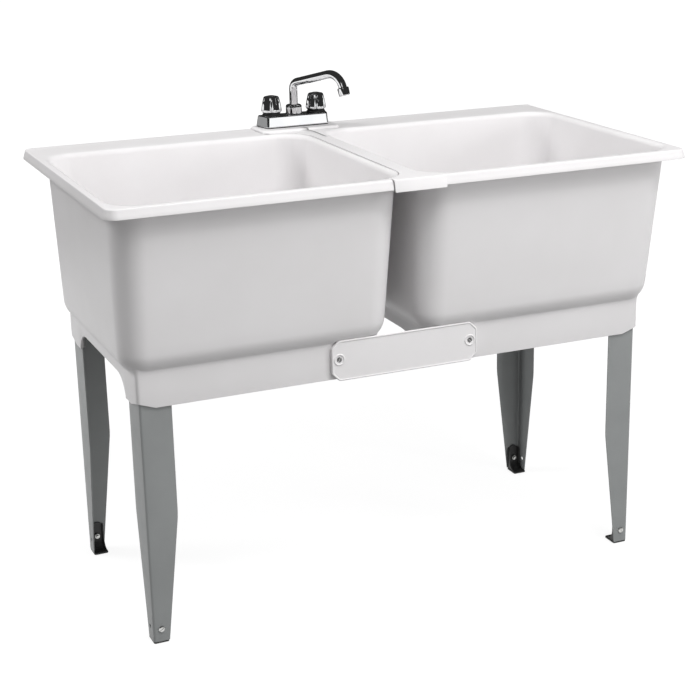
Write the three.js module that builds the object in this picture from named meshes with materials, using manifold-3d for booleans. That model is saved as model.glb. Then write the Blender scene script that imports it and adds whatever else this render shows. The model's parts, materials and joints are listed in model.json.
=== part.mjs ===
// Double-bowl utility laundry sink: two moulded tubs joined side by side on four steel legs,
// with a two-handle centreset faucet. Millimetres, +Z up, X along the length, Y to the back.
// The origin is on the floor, under the middle of the rim.
import * as THREE from 'three';
import * as BufferGeometryUtils from 'three/addons/utils/BufferGeometryUtils.js';
import Module from 'manifold-3d';

const wasm = await Module();
wasm.setup();

// ---------------------------------------------------------------- driving sizes

const fit = 0.3; // clearance between pieces that touch

// rim and its down-turned apron
const rimLength = 1175;
const rimDepth = 648;
const rimHeight = 863;
const rimThickness = 4.5;
const rimCornerRadius = 26;
const apronDrop = 18;
const apronFlare = 4.5;
const apronThickness = 4;
const rimEdgeRadius = 3;

// bowl, outside faces at the height of the rim
const bowlInnerFace = 20.7; // distance of the inner end wall from the joint plane
const endLedge = 19.5; // rim's edge to the bowl's outer end wall
const frontLedge = 21.7;
const backLedge = 101.1;
const bowlWall = 4.5;
const bowlCornerRadius = 60;
const bowlFootCornerRadius = 48;
const bowlEdgeRadius = 9;
const bowlDepth = 324.5; // rim to the flat of the floor, inside
const bowlFloorRadius = 45; // outside radius between walls and floor
const endDraft = Math.tan(THREE.MathUtils.degToRad(2.3));
const frontDraft = Math.tan(THREE.MathUtils.degToRad(8));
const backDraft = Math.tan(THREE.MathUtils.degToRad(1.8));
const floorFall = 8;

// drain outlet moulded into the middle of the floor
const drainDishRadius = 46;
const drainBore = 20;
const outletRadius = 25;
const outletLength = 72;

// skirt under the bowl: rails, end aprons and leg sockets
const skirtEndSetback = 36.7; // from the bowl's outer end wall
const skirtInnerSetback = 35.3; // from the bowl's inner end wall
const skirtFrontSetback = 80.7; // from the rim's front and back edges
const skirtWall = 4;
const skirtDrop = 60; // from the bowl's underside down to the skirt's bottom
const shelfRise = 14; // from the bowl's underside up to the shelf behind it
const skirtCornerRadius = 7;
const archRise = 38.5;
const archFootInset = 77.8; // from the skirt's front and back faces
const archShoulderInset = 133.3;
const archBow = 12;
const socketChamfer = { along: 34, across: 43, up: 12 };
const socketRibWall = 3;

// legs: bent steel angles
const legThickness = 2;
const legBendRadius = 5;
const legFrontWidth = 61;
const legSideWidth = 69;
const legFootFrontWidth = 31.5;
const legFootSideWidth = 33;
const legTaperStart = 256;
const legHoleHeight = 30;
const legHoleRadius = 4.2;
const legFrontHoleX = 16;
const legSideHoleY = 21.5;

// levelling feet
const footPlate = { length: 30.5, depth: 37, thickness: 4 };
const footHeight = 61;
const footWidth = 25.5;
const footWall = 3;
const footRibDepth = 9;
const footTravel = 15;
const footScrewRadius = 2.9;
const footNutFlat = 10;

// lap joint of the two rims
const lapHalfWidth = 12;
const lapCornerRadius = 75;
const lapHalfHook = 52;
const lapRise = 1; // over the rims
const lapThickness = 5.7;
const lapStep = 2; // groove beside the lap
const lapFrontArcInset = 86; // centre of the arc, from the rim's front edge
const lapBackArcInset = 159;
const hookDrop = 22;
const hookThickness = 3.5;
const lowerFlangeThickness = 4.4;
const lowerFlangeReach = 6;

// raised deck and faucet
const faucetX = -6;
const faucetSetback = 36; // from the rim's back edge
const deckHalfLength = 88;
const deckDepth = 81;
const deckSetback = 3;
const deckHeight = 4;
const deckCornerRadius = 12;
const supplySpacing = 101.6;
const supplyHoleRadius = 12;
const shankRadius = 10.3;
const shankBore = 6;
const shankLength = 46;
const gasketThickness = 1.5;
const faucetFrontLength = 140;
const faucetEndFlare = 9.5; // each end leans out by this much towards the back
const faucetFrontDepth = 25; // from the line of the supplies to the front
const faucetBackDepth = 18.5;
const faucetTaper = 3.5;
const faucetEdgeRadius = 2.5;
const faucetCornerRadius = 3.5;
const faucetHeight = 23;

// knobs
const escutcheonRadius = 20.5;
const escutcheonHeight = 5;
const stemRadius = 8;
const spindleRadius = 4.5;
const knobFootRadius = 21.8;
const knobTopRadius = 15.8;
const knobHeight = 34.5;
const knobFootRound = 4.5;
const knobTopRound = 3.5;
const knobFlutes = 6;
const knobFluteDepth = 3.2;
const knobFluteFoot = THREE.MathUtils.degToRad(13); // half the opening of a flute at the foot
const knobFluteTip = THREE.MathUtils.degToRad(3);
const knobClosedTurn = THREE.MathUtils.degToRad(10); // from +X to a flute when the valve is closed
const capRadius = 8.5;
const capHeight = 1.5;

// swinging spout
const spoutHeading = THREE.MathUtils.degToRad(27); // from straight ahead, towards the right bowl
const spoutRadius = 8.7;
const spoutBore = 6.8;
const spoutNutRadius = 18.5;
const spoutNutHeight = 19;
const spoutRise = 64.6; // faucet top to the point where the riser and the run would meet
const spoutRunSlope = THREE.MathUtils.degToRad(14.5);
const spoutFirstBend = 17;
const spoutSecondBend = 34;
const spoutReach = 129; // riser to the point where the run and the drop would meet
const spoutDropSlope = THREE.MathUtils.degToRad(16); // outlet leans out from plumb by this much
const spoutDropLength = 38;
const outletCupRadius = 12.2;
const outletCupLength = 17;
const outletCupOverlap = 5;
const sealHeight = 3.5;

// plates that join the skirts
const joinerLength = 308;
const joinerHeight = 80;
const joinerLift = 38; // its middle over the skirt's bottom
const joinerDepth = 9;
const joinerCornerCut = 15;
const joinerBorder = 3.5;
const joinerRecess = 1.2;
const joinerFace = 3;
const joinerBossRadius = 11.6;
const joinerSeatRadius = 8;
const joinerSeatDepth = 4;
const joinerScrewInset = 15.5; // from the plate's ends
const joinerScrewLift = 2.5; // over the middle of the plate
const joinerScrewRadius = 2.7;
const screwHeadRadius = 6;
const screwHeadHeight = 3.2;
const nutHeight = 4.8;

// drain fittings
const stopperFlangeRadius = 24;
const stopperPlugLength = 14;
const drainNutWall = 5.5;
const drainNutHeight = 26;
const drainWasherThickness = 3;

// facets
const cornerSteps = 5;
const roundSteps = 18;
const smallSteps = 10;

// ---------------------------------------------------------------- sizes worked out

const rimTop = rimHeight;
const rimUnderside = rimTop - rimThickness;
const apronBottom = rimTop - apronDrop;
const rimBackY = rimDepth / 2;
const bowlOuterFace = rimLength / 2 - endLedge;
const bowlFrontFace = rimBackY - frontLedge;
const bowlBackFace = rimBackY - backLedge;
const bowlFloorTop = rimTop - bowlDepth;
const bowlFloorUnderside = bowlFloorTop - bowlWall;
const bowlWallFoot = bowlFloorUnderside + bowlFloorRadius;
const drainX = (bowlOuterFace + bowlInnerFace) / 2;
const drainY = (bowlBackFace - bowlFrontFace + bowlDepth * (frontDraft - backDraft)) / 2;
const outletBottom = bowlFloorUnderside - floorFall - outletLength;

const skirtOuterFace = bowlOuterFace - skirtEndSetback;
const skirtInnerFace = bowlInnerFace + skirtInnerSetback;
const skirtFrontFace = rimBackY - skirtFrontSetback;
const skirtBottom = bowlFloorUnderside - skirtDrop;
const skirtShelf = bowlFloorUnderside + shelfRise;
const archTop = skirtBottom + archRise;
const archFootY = skirtFrontFace - archFootInset;
const archShoulderY = skirtFrontFace - archShoulderInset;
const joinerMiddleZ = skirtBottom + joinerLift;
const joinerScrewX = joinerLength / 2 - joinerScrewInset;
const joinerScrewZ = joinerMiddleZ + joinerScrewLift;

const legCornerX = skirtOuterFace - skirtWall - fit;
const legCornerY = skirtFrontFace - skirtWall - fit;
const legBottom = footPlate.thickness + fit;
const legTop = bowlFloorUnderside - fit;

const lapTop = rimTop + lapRise;
const lapFrontArcY = lapFrontArcInset - rimBackY;
const lapBackArcY = rimBackY - lapBackArcInset;
const lapUnderside = lapTop - lapThickness;
const lowerFlangeTop = lapUnderside - fit;
const lowerFlangeUnderside = lowerFlangeTop - lowerFlangeThickness;
const hookBottom = rimTop - hookDrop;
const hookFace = rimBackY + fit + hookThickness;
const deckTop = lapTop + deckHeight;
const deckBackY = rimBackY - deckSetback;
const deckFrontY = deckBackY - deckDepth;
const faucetY = rimBackY - faucetSetback;

const gasketBottom = deckTop + fit;
const faucetBottom = gasketBottom + gasketThickness + fit;
const faucetTop = faucetBottom + faucetHeight;

// ---------------------------------------------------------------- making solids

function signedVolume(positions, index) {
  const a = new THREE.Vector3();
  const b = new THREE.Vector3();
  const c = new THREE.Vector3();
  let sum = 0;
  for (let i = 0; i < index.count; i += 3) {
    a.fromBufferAttribute(positions, index.getX(i));
    b.fromBufferAttribute(positions, index.getX(i + 1));
    c.fromBufferAttribute(positions, index.getX(i + 2));
    sum += a.dot(b.cross(c));
  }
  return sum;
}

function turnFaces(geometry) {
  const index = geometry.index;
  for (let i = 0; i < index.count; i += 3) {
    const first = index.getX(i);
    index.setX(i, index.getX(i + 1));
    index.setX(i + 1, first);
  }
}

// A closed surface with shared corners, its faces pointing out.
function closed(geometry) {
  const bare = geometry.clone();
  bare.deleteAttribute('normal');
  bare.deleteAttribute('uv');
  const merged = BufferGeometryUtils.mergeVertices(bare, 1e-4);
  if (signedVolume(merged.attributes.position, merged.index) < 0) turnFaces(merged);
  return merged;
}

function solid(geometry) {
  const surface = closed(geometry);
  const mesh = new wasm.Mesh({
    numProp: 3,
    vertProperties: Float32Array.from(surface.attributes.position.array),
    triVerts: Uint32Array.from(surface.index.array),
  });
  return new wasm.Manifold(mesh);
}

function surfaceOf(manifold) {
  const mesh = manifold.getMesh();
  const geometry = new THREE.BufferGeometry();
  geometry.setAttribute('position', new THREE.BufferAttribute(mesh.vertProperties, 3));
  geometry.setIndex(new THREE.BufferAttribute(mesh.triVerts, 1));
  return geometry;
}

function joined(solids) {
  return solids.reduce((whole, piece) => whole.add(piece));
}

function cut(body, tools) {
  return tools.reduce((left, tool) => left.subtract(tool), body);
}

// Skin over a stack of rings with equal counts of points. A looped stack closes on its first ring.
function loft(rings, looped = false) {
  const count = rings[0].length;
  const positions = rings.flat().flatMap((p) => [p.x, p.y, p.z]);
  const index = [];
  const layers = looped ? rings.length : rings.length - 1;
  for (let layer = 0; layer < layers; layer += 1) {
    const low = layer * count;
    const high = ((layer + 1) % rings.length) * count;
    for (let i = 0; i < count; i += 1) {
      const j = (i + 1) % count;
      index.push(low + i, low + j, high + j, low + i, high + j, high + i);
    }
  }
  if (!looped) {
    const last = (rings.length - 1) * count;
    for (let i = 1; i < count - 1; i += 1) {
      index.push(0, i + 1, i, last, last + i, last + i + 1);
    }
  }
  const geometry = new THREE.BufferGeometry();
  geometry.setAttribute('position', new THREE.Float32BufferAttribute(positions, 3));
  geometry.setIndex(index);
  return geometry;
}

// Rounded rectangle as a ring of points. The box has x0, x1, y0, y1; radii start at (x0, y0)
// and go round by (x1, y0), (x1, y1) and (x0, y1).
function roundedRing(box, radii, z, steps = cornerSteps) {
  const r = Array.isArray(radii) ? radii : [radii, radii, radii, radii];
  const corners = [
    [box.x0 + r[0], box.y0 + r[0], Math.PI],
    [box.x1 - r[1], box.y0 + r[1], Math.PI * 1.5],
    [box.x1 - r[2], box.y1 - r[2], 0],
    [box.x0 + r[3], box.y1 - r[3], Math.PI / 2],
  ];
  return corners.flatMap(([cx, cy, start], corner) =>
    Array.from({ length: steps + 1 }, (_, i) => {
      const a = start + (i / steps) * (Math.PI / 2);
      return new THREE.Vector3(cx + r[corner] * Math.cos(a), cy + r[corner] * Math.sin(a), z);
    }));
}

// Circle with one point in the direction of each point of another ring.
function circleLike(ring, x, y, radius, z) {
  return ring.map((p) => {
    const a = Math.atan2(p.y - y, p.x - x);
    return new THREE.Vector3(x + radius * Math.cos(a), y + radius * Math.sin(a), z);
  });
}

function mirroredRings(rings, side) {
  return rings.map((ring) => ring.map((p) => new THREE.Vector3(side * p.x, p.y, p.z)));
}

function box(x0, x1, y0, y1, z0, z1) {
  const geometry = new THREE.BoxGeometry(x1 - x0, y1 - y0, z1 - z0);
  geometry.translate((x0 + x1) / 2, (y0 + y1) / 2, (z0 + z1) / 2);
  return geometry;
}

function rod(x, y, z0, z1, radius, steps = roundSteps, topRadius = radius) {
  const geometry = new THREE.CylinderGeometry(topRadius, radius, z1 - z0, steps);
  geometry.rotateX(Math.PI / 2);
  geometry.translate(x, y, (z0 + z1) / 2);
  return geometry;
}

// Round bar along Y, from y0 to y1.
function rodAcross(x, z, y0, y1, radius, steps = roundSteps) {
  const geometry = new THREE.CylinderGeometry(radius, radius, y1 - y0, steps);
  geometry.translate(x, (y0 + y1) / 2, z);
  return geometry;
}

// Outline of [x, y] points or a Shape, raised from z0 to z1.
function prism(outline, z0, z1) {
  const shape = Array.isArray(outline)
    ? new THREE.Shape(outline.map(([x, y]) => new THREE.Vector2(x, y)))
    : outline;
  const options = { depth: z1 - z0, bevelEnabled: false, curveSegments: cornerSteps };
  const geometry = new THREE.ExtrudeGeometry(shape, options);
  geometry.translate(0, 0, z0);
  return geometry;
}

// Outline in X and Z, drawn out along Y from y0 to y1.
function prismAcross(outline, y0, y1) {
  const geometry = prism(outline, -y1, -y0);
  geometry.rotateX(Math.PI / 2);
  return geometry;
}

// Outline in Y and Z, drawn out along X from x0 to x1.
function prismAlong(outline, x0, x1) {
  const geometry = prism(outline, x0, x1);
  geometry.rotateX(Math.PI / 2);
  geometry.rotateZ(Math.PI / 2);
  return geometry;
}

// Profile of [radius, height] points turned about the Z axis.
function turned(profile, steps = roundSteps) {
  const points = profile.map(([r, z]) => new THREE.Vector2(r, z));
  const geometry = new THREE.LatheGeometry(points, steps);
  geometry.rotateX(Math.PI / 2);
  return geometry;
}

function mirrored(geometry, mx, my) {
  const copy = geometry.clone();
  copy.scale(mx, my, 1);
  return copy;
}

// ---------------------------------------------------------------- materials

function material(color, roughness, metalness) {
  return new THREE.MeshStandardMaterial({ color, roughness, metalness });
}

const whitePlastic = material(0xf2f2f2, 0.45, 0);
const greyEnamel = material(0x7d7e7c, 0.5, 0.1);
const blackPlastic = material(0x232425, 0.55, 0);
const zincSteel = material(0xa9abac, 0.35, 0.9);
const chrome = material(0xd8dadc, 0.08, 1);
const darkRubber = material(0x2b2b2b, 0.8, 0);

const sink = new THREE.Group();

function place(name, geometry, surface, x = 0, y = 0, z = 0) {
  const mesh = new THREE.Mesh(closed(geometry), surface);
  mesh.name = name;
  mesh.position.set(x, y, z);
  sink.add(mesh);
  return mesh;
}

// ---------------------------------------------------------------- tubs

// Plan of the bowl's outside at height z, moved in by inset. Its x counts outwards from the joint plane.
function bowlPlan(z, inset) {
  const drop = rimTop - z;
  return {
    x0: bowlInnerFace + drop * endDraft + inset,
    x1: bowlOuterFace - drop * endDraft - inset,
    y0: -bowlFrontFace + drop * frontDraft + inset,
    y1: bowlBackFace - drop * backDraft - inset,
  };
}

function bowlPlanRadius(z, inset) {
  const share = (rimTop - z) / (rimTop - bowlWallFoot);
  const radius = THREE.MathUtils.lerp(bowlCornerRadius, bowlFootCornerRadius, Math.min(share, 1));
  return Math.max(radius - inset, 5);
}

function bowlRing(z, inset) {
  return roundedRing(bowlPlan(z, inset), bowlPlanRadius(z, inset), z);
}

// Rings from the drain dish over the floor radius up to the foot of the walls.
function bowlFootRings(inset) {
  const radius = bowlFloorRadius - inset;
  const rings = [];
  const steps = 4;
  for (let i = steps; i >= 0; i -= 1) {
    const a = (i / steps) * (Math.PI / 2);
    const z = bowlWallFoot - radius * Math.sin(a);
    rings.push(bowlRing(z, inset + radius * (1 - Math.cos(a))));
  }
  const floorZ = rings[0][0].z;
  rings.unshift(circleLike(rings[0], drainX, drainY, drainDishRadius + bowlWall - inset, floorZ - floorFall));
  return rings;
}

function bowlOutside(side) {
  const rings = [...bowlFootRings(0), bowlRing(rimTop - 1, 0)];
  return solid(loft(mirroredRings(rings, side)));
}

function bowlInside(side) {
  const rings = bowlFootRings(bowlWall);
  const steps = 3;
  for (let i = 0; i <= steps; i += 1) {
    const a = (i / steps) * (Math.PI / 2);
    const z = rimTop - bowlEdgeRadius * (1 - Math.sin(a));
    rings.push(bowlRing(z, bowlWall - bowlEdgeRadius * (1 - Math.cos(a))));
  }
  rings.push(rings.at(-1).map((p) => new THREE.Vector3(p.x, p.y, rimTop + deckHeight + 2)));
  return solid(loft(mirroredRings(rings, side)));
}

// Rim and apron of one tub. innerEdge is where its flange ends, counted outwards from the joint plane.
function rimShell(side, innerEdge) {
  const sharp = 0.5;
  const plan = (inset, inner) => ({
    x0: inner,
    x1: rimLength / 2 - inset,
    y0: -rimDepth / 2 + inset,
    y1: rimDepth / 2 - inset,
  });
  const ringAt = (z, inset, inner) => {
    const r = rimCornerRadius - inset;
    return roundedRing(plan(inset, inner), [sharp, r, r, sharp], z);
  };
  const edge = (a) => apronFlare + rimEdgeRadius * (1 - Math.cos(a));
  const edgeZ = (a) => rimTop - rimEdgeRadius * (1 - Math.sin(a));
  const outside = [ringAt(apronBottom, 0, innerEdge)];
  for (const a of [0, Math.PI / 4, Math.PI / 2]) outside.push(ringAt(edgeZ(a), edge(a), innerEdge));
  const channelInset = apronThickness + apronFlare;
  const channel = [
    ringAt(apronBottom - 1, apronThickness, innerEdge - 2),
    ringAt(rimUnderside, channelInset, innerEdge - 2),
  ];
  return solid(loft(mirroredRings(outside, side)))
    .subtract(solid(loft(mirroredRings(channel, side))));
}

function skirtRing(inset, z) {
  const plan = {
    x0: skirtInnerFace + inset,
    x1: skirtOuterFace - inset,
    y0: -skirtFrontFace + inset,
    y1: skirtFrontFace - inset,
  };
  return roundedRing(plan, skirtCornerRadius - inset, z, 3);
}

// L-shaped rib behind each leg pocket, from the skirt's bottom up to the bowl's floor.
function socketRibs(side, endX, endY) {
  const outward = endX > (skirtInnerFace + skirtOuterFace) / 2 ? -1 : 1;
  const into = -Math.sign(endY);
  const cornerX = endX + outward * (skirtWall + fit);
  const cornerY = endY + into * (skirtWall + fit);
  const slot = legThickness + fit;
  const span = (a, b) => [Math.min(a, b), Math.max(a, b)];
  const rib = (xa, xb, ya, yb) => {
    const [x0, x1] = span(side * xa, side * xb);
    const [y0, y1] = span(ya, yb);
    return solid(box(x0, x1, y0, y1, skirtBottom + 2, bowlFloorUnderside + 2));
  };
  const wallEndX = cornerX + outward * (legFrontWidth + fit);
  const wallEndY = cornerY + into * (legSideWidth + fit);
  const backX = cornerX + outward * slot;
  const backY = cornerY + into * slot;
  const bendX = cornerX + outward * legBendRadius;
  const bendY = cornerY + into * legBendRadius;
  return [
    rib(bendX, wallEndX + outward * socketRibWall, backY, backY + into * socketRibWall),
    rib(wallEndX, wallEndX + outward * socketRibWall, endY + into, backY + into * socketRibWall),
    rib(backX, backX + outward * socketRibWall, bendY, wallEndY + into * socketRibWall),
    rib(endX + outward, backX + outward * socketRibWall, wallEndY, wallEndY + into * socketRibWall),
  ];
}

// Corner wedge that slants the bottom of a leg socket.
function socketWedge(side, endX, endY) {
  const e = 1;
  const { along, across, up } = socketChamfer;
  const grow = 1 + e / along + e / across + e / up;
  const outward = endX > (skirtInnerFace + skirtOuterFace) / 2 ? 1 : -1;
  const y = Math.sign(endY);
  const apex = new THREE.Vector3(side * (endX + outward * e), endY + y * e, skirtBottom - e);
  const points = [
    apex,
    apex.clone().add(new THREE.Vector3(-side * outward * along * grow, 0, 0)),
    apex.clone().add(new THREE.Vector3(0, -y * across * grow, 0)),
    apex.clone().add(new THREE.Vector3(0, 0, up * grow)),
  ];
  const geometry = new THREE.BufferGeometry().setFromPoints(points);
  geometry.setIndex([0, 1, 2, 0, 2, 3, 0, 3, 1, 1, 3, 2]);
  return solid(geometry);
}

function archCut(side) {
  const below = skirtBottom - 1;
  const shape = new THREE.Shape();
  shape.moveTo(-archFootY, below);
  shape.lineTo(-archFootY, skirtBottom + 3);
  shape.quadraticCurveTo(-archFootY + archBow, archTop, -archShoulderY, archTop);
  shape.lineTo(archShoulderY, archTop);
  shape.quadraticCurveTo(archFootY - archBow, archTop, archFootY, skirtBottom + 3);
  shape.lineTo(archFootY, below);
  const reach = skirtWall + 2;
  return [skirtInnerFace, skirtOuterFace].map((face) => {
    const [x0, x1] = [side * (face - reach), side * (face + reach)].sort((a, b) => a - b);
    return solid(prismAlong(shape, x0, x1));
  });
}

function skirt(side) {
  const above = bowlWallFoot - 14;
  const outside = loft(mirroredRings([skirtRing(0, skirtBottom), skirtRing(0, above)], side));
  const inside = loft(mirroredRings([skirtRing(skirtWall, skirtBottom - 1), skirtRing(skirtWall, above + 1)], side));
  const [x0, x1] = [side * skirtInnerFace, side * skirtOuterFace].sort((a, b) => a - b);
  const shelfFrontY = bowlBackFace - bowlFootCornerRadius;
  const behindBowl = box(x0 - 1, x1 + 1, shelfFrontY + 10, skirtFrontFace + 1, skirtShelf, above + 2);
  const shelf = [skirtShelf - skirtWall, skirtShelf].map((z) => {
    const plan = { x0: skirtInnerFace, x1: skirtOuterFace, y0: shelfFrontY, y1: skirtFrontFace };
    return roundedRing(plan, [0.5, 0.5, skirtCornerRadius, skirtCornerRadius], z, 3);
  });
  const wall = solid(outside).subtract(solid(inside)).subtract(solid(behindBowl));
  const corners = [skirtInnerFace, skirtOuterFace]
    .flatMap((x) => [-skirtFrontFace, skirtFrontFace].map((y) => [x, y]));
  const ribs = corners.flatMap(([x, y]) => socketRibs(side, x, y));
  const wedges = corners.map(([x, y]) => socketWedge(side, x, y));
  const screwHoles = rodAcross(side * joinerScrewX, joinerScrewZ, -skirtFrontFace - 1,
    skirtFrontFace + 1, joinerScrewRadius + 2 * fit, smallSteps);
  const whole = joined([wall, solid(loft(mirroredRings(shelf, side))), ...ribs]);
  return cut(whole, [...archCut(side), ...wedges, solid(screwHoles)]);
}

function drainOutlet(side) {
  return solid(rod(side * drainX, drainY, outletBottom, bowlFloorUnderside - 1, outletRadius));
}

function drainHole(side) {
  return solid(rod(side * drainX, drainY, outletBottom - 1, bowlFloorTop + 1, drainBore));
}

function tub(side, innerEdge) {
  return joined([rimShell(side, innerEdge), bowlOutside(side), skirt(side), drainOutlet(side)]);
}

// Plan of the lap from its left edge to the plane x = x1. A larger grow moves that edge towards the
// left bowl.
function lapOutline(grow, x1, frontY, backY) {
  const radius = lapCornerRadius - grow;
  const centreX = -lapHalfWidth - lapCornerRadius;
  const hookX = -lapHalfHook - grow;
  const frontAngle = Math.acos((hookX - centreX) / radius);
  const deckX = faucetX - deckHalfLength - grow;
  const shape = new THREE.Shape();
  shape.moveTo(x1, frontY);
  shape.lineTo(x1, backY);
  shape.lineTo(deckX, backY);
  shape.lineTo(deckX, lapBackArcY + radius);
  shape.lineTo(centreX, lapBackArcY + radius);
  shape.absarc(centreX, lapBackArcY, radius, Math.PI / 2, 0, true);
  shape.absarc(centreX, lapFrontArcY, radius, 0, -frontAngle, true);
  shape.lineTo(hookX, frontY);
  return shape;
}

// Hook of the lap over the front or back edge. It is thin where the other tub's apron lies behind it.
function hookProfile(y, thin) {
  const inner = thin ? 0 : 2.3;
  const points = [
    [hookFace, hookBottom],
    [hookFace - 3.2, lapTop - 2.5],
    [hookFace - 5.8, lapTop],
    [hookFace - 13, lapTop],
    [hookFace - 13, lapUnderside],
    [hookFace - 6.7 - inner, lapUnderside],
    [hookFace - hookThickness - inner, apronBottom],
    [hookFace - hookThickness - inner, hookBottom],
  ];
  return points.map(([depth, z]) => [y * depth, z]);
}

function lap() {
  const edgeY = hookFace - 10;
  const rightX = lapHalfWidth + 2;
  const sheet = solid(prism(lapOutline(0, rightX, -edgeY, edgeY), lapUnderside, lapTop));
  const overOwn = innerEdgeRight - fit;
  const hooks = [
    prismAlong(hookProfile(-1, true), -lapHalfHook, lapHalfHook),
    prismAlong(hookProfile(-1, false), overOwn, lapHalfHook),
    prismAlong(hookProfile(1, true), faucetX - deckHalfLength, faucetX + deckHalfLength),
    prismAlong(hookProfile(1, false), overOwn, faucetX + deckHalfLength),
  ];
  const deckPlan = {
    x0: faucetX - deckHalfLength,
    x1: faucetX + deckHalfLength,
    y0: deckFrontY,
    y1: deckBackY,
  };
  const deck = loft([
    roundedRing(deckPlan, deckCornerRadius, lapUnderside),
    roundedRing(deckPlan, deckCornerRadius, lapTop),
    roundedRing({
      x0: deckPlan.x0 + deckHeight,
      x1: deckPlan.x1 - deckHeight,
      y0: deckPlan.y0 + deckHeight,
      y1: deckPlan.y1 - deckHeight,
    }, deckCornerRadius - 2, deckTop),
  ]);
  return joined([sheet, solid(deck), ...hooks.map(solid)]);
}

const innerEdgeLeft = -lowerFlangeReach;
const innerEdgeRight = lowerFlangeReach + 2 * fit;
const supplyX = [faucetX - supplySpacing / 2, faucetX + supplySpacing / 2];

function supplyHoles() {
  return supplyX.map((x) => solid(rod(x, faucetY, lowerFlangeUnderside - 9, deckTop + 1, supplyHoleRadius)));
}

function leftTub() {
  const aprons = rimDepth / 2 - apronFlare - 1;
  const flange = prism(lapOutline(lapStep + lowerFlangeThickness, lowerFlangeReach, -aprons, aprons),
    lowerFlangeUnderside, rimTop - 1);
  const past = rimDepth / 2 + 1;
  const step = prism(lapOutline(lapStep, lowerFlangeReach + 1, -past, past), lowerFlangeTop, rimTop + 1);
  const whole = tub(-1, innerEdgeLeft).add(solid(flange));
  return cut(whole, [bowlInside(-1), solid(step), drainHole(-1), ...supplyHoles()]);
}

function rightTub() {
  const whole = tub(1, innerEdgeRight).add(lap());
  return cut(whole, [bowlInside(1), drainHole(1), ...supplyHoles()]);
}

place('left_tub', surfaceOf(leftTub()), whitePlastic);
place('right_tub', surfaceOf(rightTub()), whitePlastic);

// ---------------------------------------------------------------- joiner plates

function octagon(inset) {
  const halfX = joinerLength / 2 - inset;
  const z0 = joinerMiddleZ - joinerHeight / 2 + inset;
  const z1 = joinerMiddleZ + joinerHeight / 2 - inset;
  const c = joinerCornerCut - inset * (2 - Math.SQRT2);
  return [
    [-halfX, z0 + c], [-halfX + c, z0], [halfX - c, z0], [halfX, z0 + c],
    [halfX, z1 - c], [halfX - c, z1], [-halfX + c, z1], [-halfX, z1 - c],
  ];
}

// Room that the plate leaves for the curve of the bowls above its back edge.
function joinerRelief() {
  const curve = bowlFootRings(-fit).slice(1).map((ring) => {
    const frontY = Math.min(...ring.map((p) => p.y));
    return [frontY + skirtFrontFace + fit, ring[0].z];
  });
  const outline = [...curve, [curve[0][0], curve.at(-1)[1]]];
  return solid(prismAlong(outline, -joinerLength, joinerLength));
}

// Front plate, its back on the plane y = 0 and its face towards -Y.
function joinerPlate() {
  const roundAt = (y0, y1, radius, steps) => [-1, 1].map((side) =>
    solid(rodAcross(side * joinerScrewX, joinerScrewZ, y0, y1, radius, steps)));
  const bosses = roundAt(-joinerDepth, 0, joinerBossRadius, 16);
  const seats = roundAt(-joinerDepth - 1, -joinerDepth + joinerSeatDepth, joinerSeatRadius, smallSteps);
  const holes = roundAt(-joinerDepth - 1, 1, joinerScrewRadius + 2 * fit, smallSteps);
  const recess = prismAcross(octagon(joinerBorder), -joinerDepth - 1, -joinerDepth + joinerRecess);
  const hollow = prismAcross(octagon(joinerBorder - 0.5), -joinerDepth + joinerRecess + joinerFace, 1);
  const pan = cut(solid(prismAcross(octagon(0), -joinerDepth, 0)), [solid(recess), solid(hollow)]);
  return surfaceOf(cut(joined([pan, ...bosses]), [...seats, ...holes, joinerRelief()]));
}

// Screw along Y with its head towards -Y; the underside of the head is at y = 0.
function screwAcross(length, radius) {
  const head = rodAcross(0, 0, -screwHeadHeight, 0, screwHeadRadius, 16);
  const shank = rodAcross(0, 0, -0.5, length, radius, smallSteps);
  const slot = box(-0.7, 0.7, -screwHeadHeight - 1, -screwHeadHeight + 1.2, -screwHeadRadius, screwHeadRadius);
  return surfaceOf(solid(head).add(solid(shank)).subtract(solid(slot)));
}

// Hexagon nut along Y from y = 0, with a hole for a screw.
function nutAcross(acrossFlats, height, screwRadius) {
  const hexagon = rodAcross(0, 0, 0, height, acrossFlats / Math.sqrt(3), 6);
  const hole = rodAcross(0, 0, -1, height + 1, screwRadius + fit, smallSteps);
  return surfaceOf(solid(hexagon).subtract(solid(hole)));
}

const joinerBackY = skirtFrontFace + fit;
const joinerScrewLength = joinerDepth - joinerSeatDepth + fit + skirtWall + fit + nutHeight + 3;
const endNames = [[-1, 'front'], [1, 'rear']];
const sideNames = [[-1, 'left'], [1, 'right']];

for (const [ySign, end] of endNames) {
  place(`${end}_joiner_plate`, mirrored(joinerPlate(), 1, -ySign), whitePlastic, 0, ySign * joinerBackY);
  for (const [xSign, hand] of sideNames) {
    const headY = ySign * (joinerBackY + joinerDepth - joinerSeatDepth + fit);
    const nutY = ySign * (skirtFrontFace - skirtWall - fit);
    const screw = mirrored(screwAcross(joinerScrewLength, joinerScrewRadius), 1, -ySign);
    const nut = mirrored(nutAcross(footNutFlat, nutHeight, joinerScrewRadius), 1, -ySign);
    place(`${end}_joiner_screw_${hand}`, screw, zincSteel, xSign * joinerScrewX, headY, joinerScrewZ);
    place(`${end}_joiner_nut_${hand}`, nut, zincSteel, xSign * joinerScrewX, nutY, joinerScrewZ);
  }
}

// ---------------------------------------------------------------- legs and feet

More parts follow.
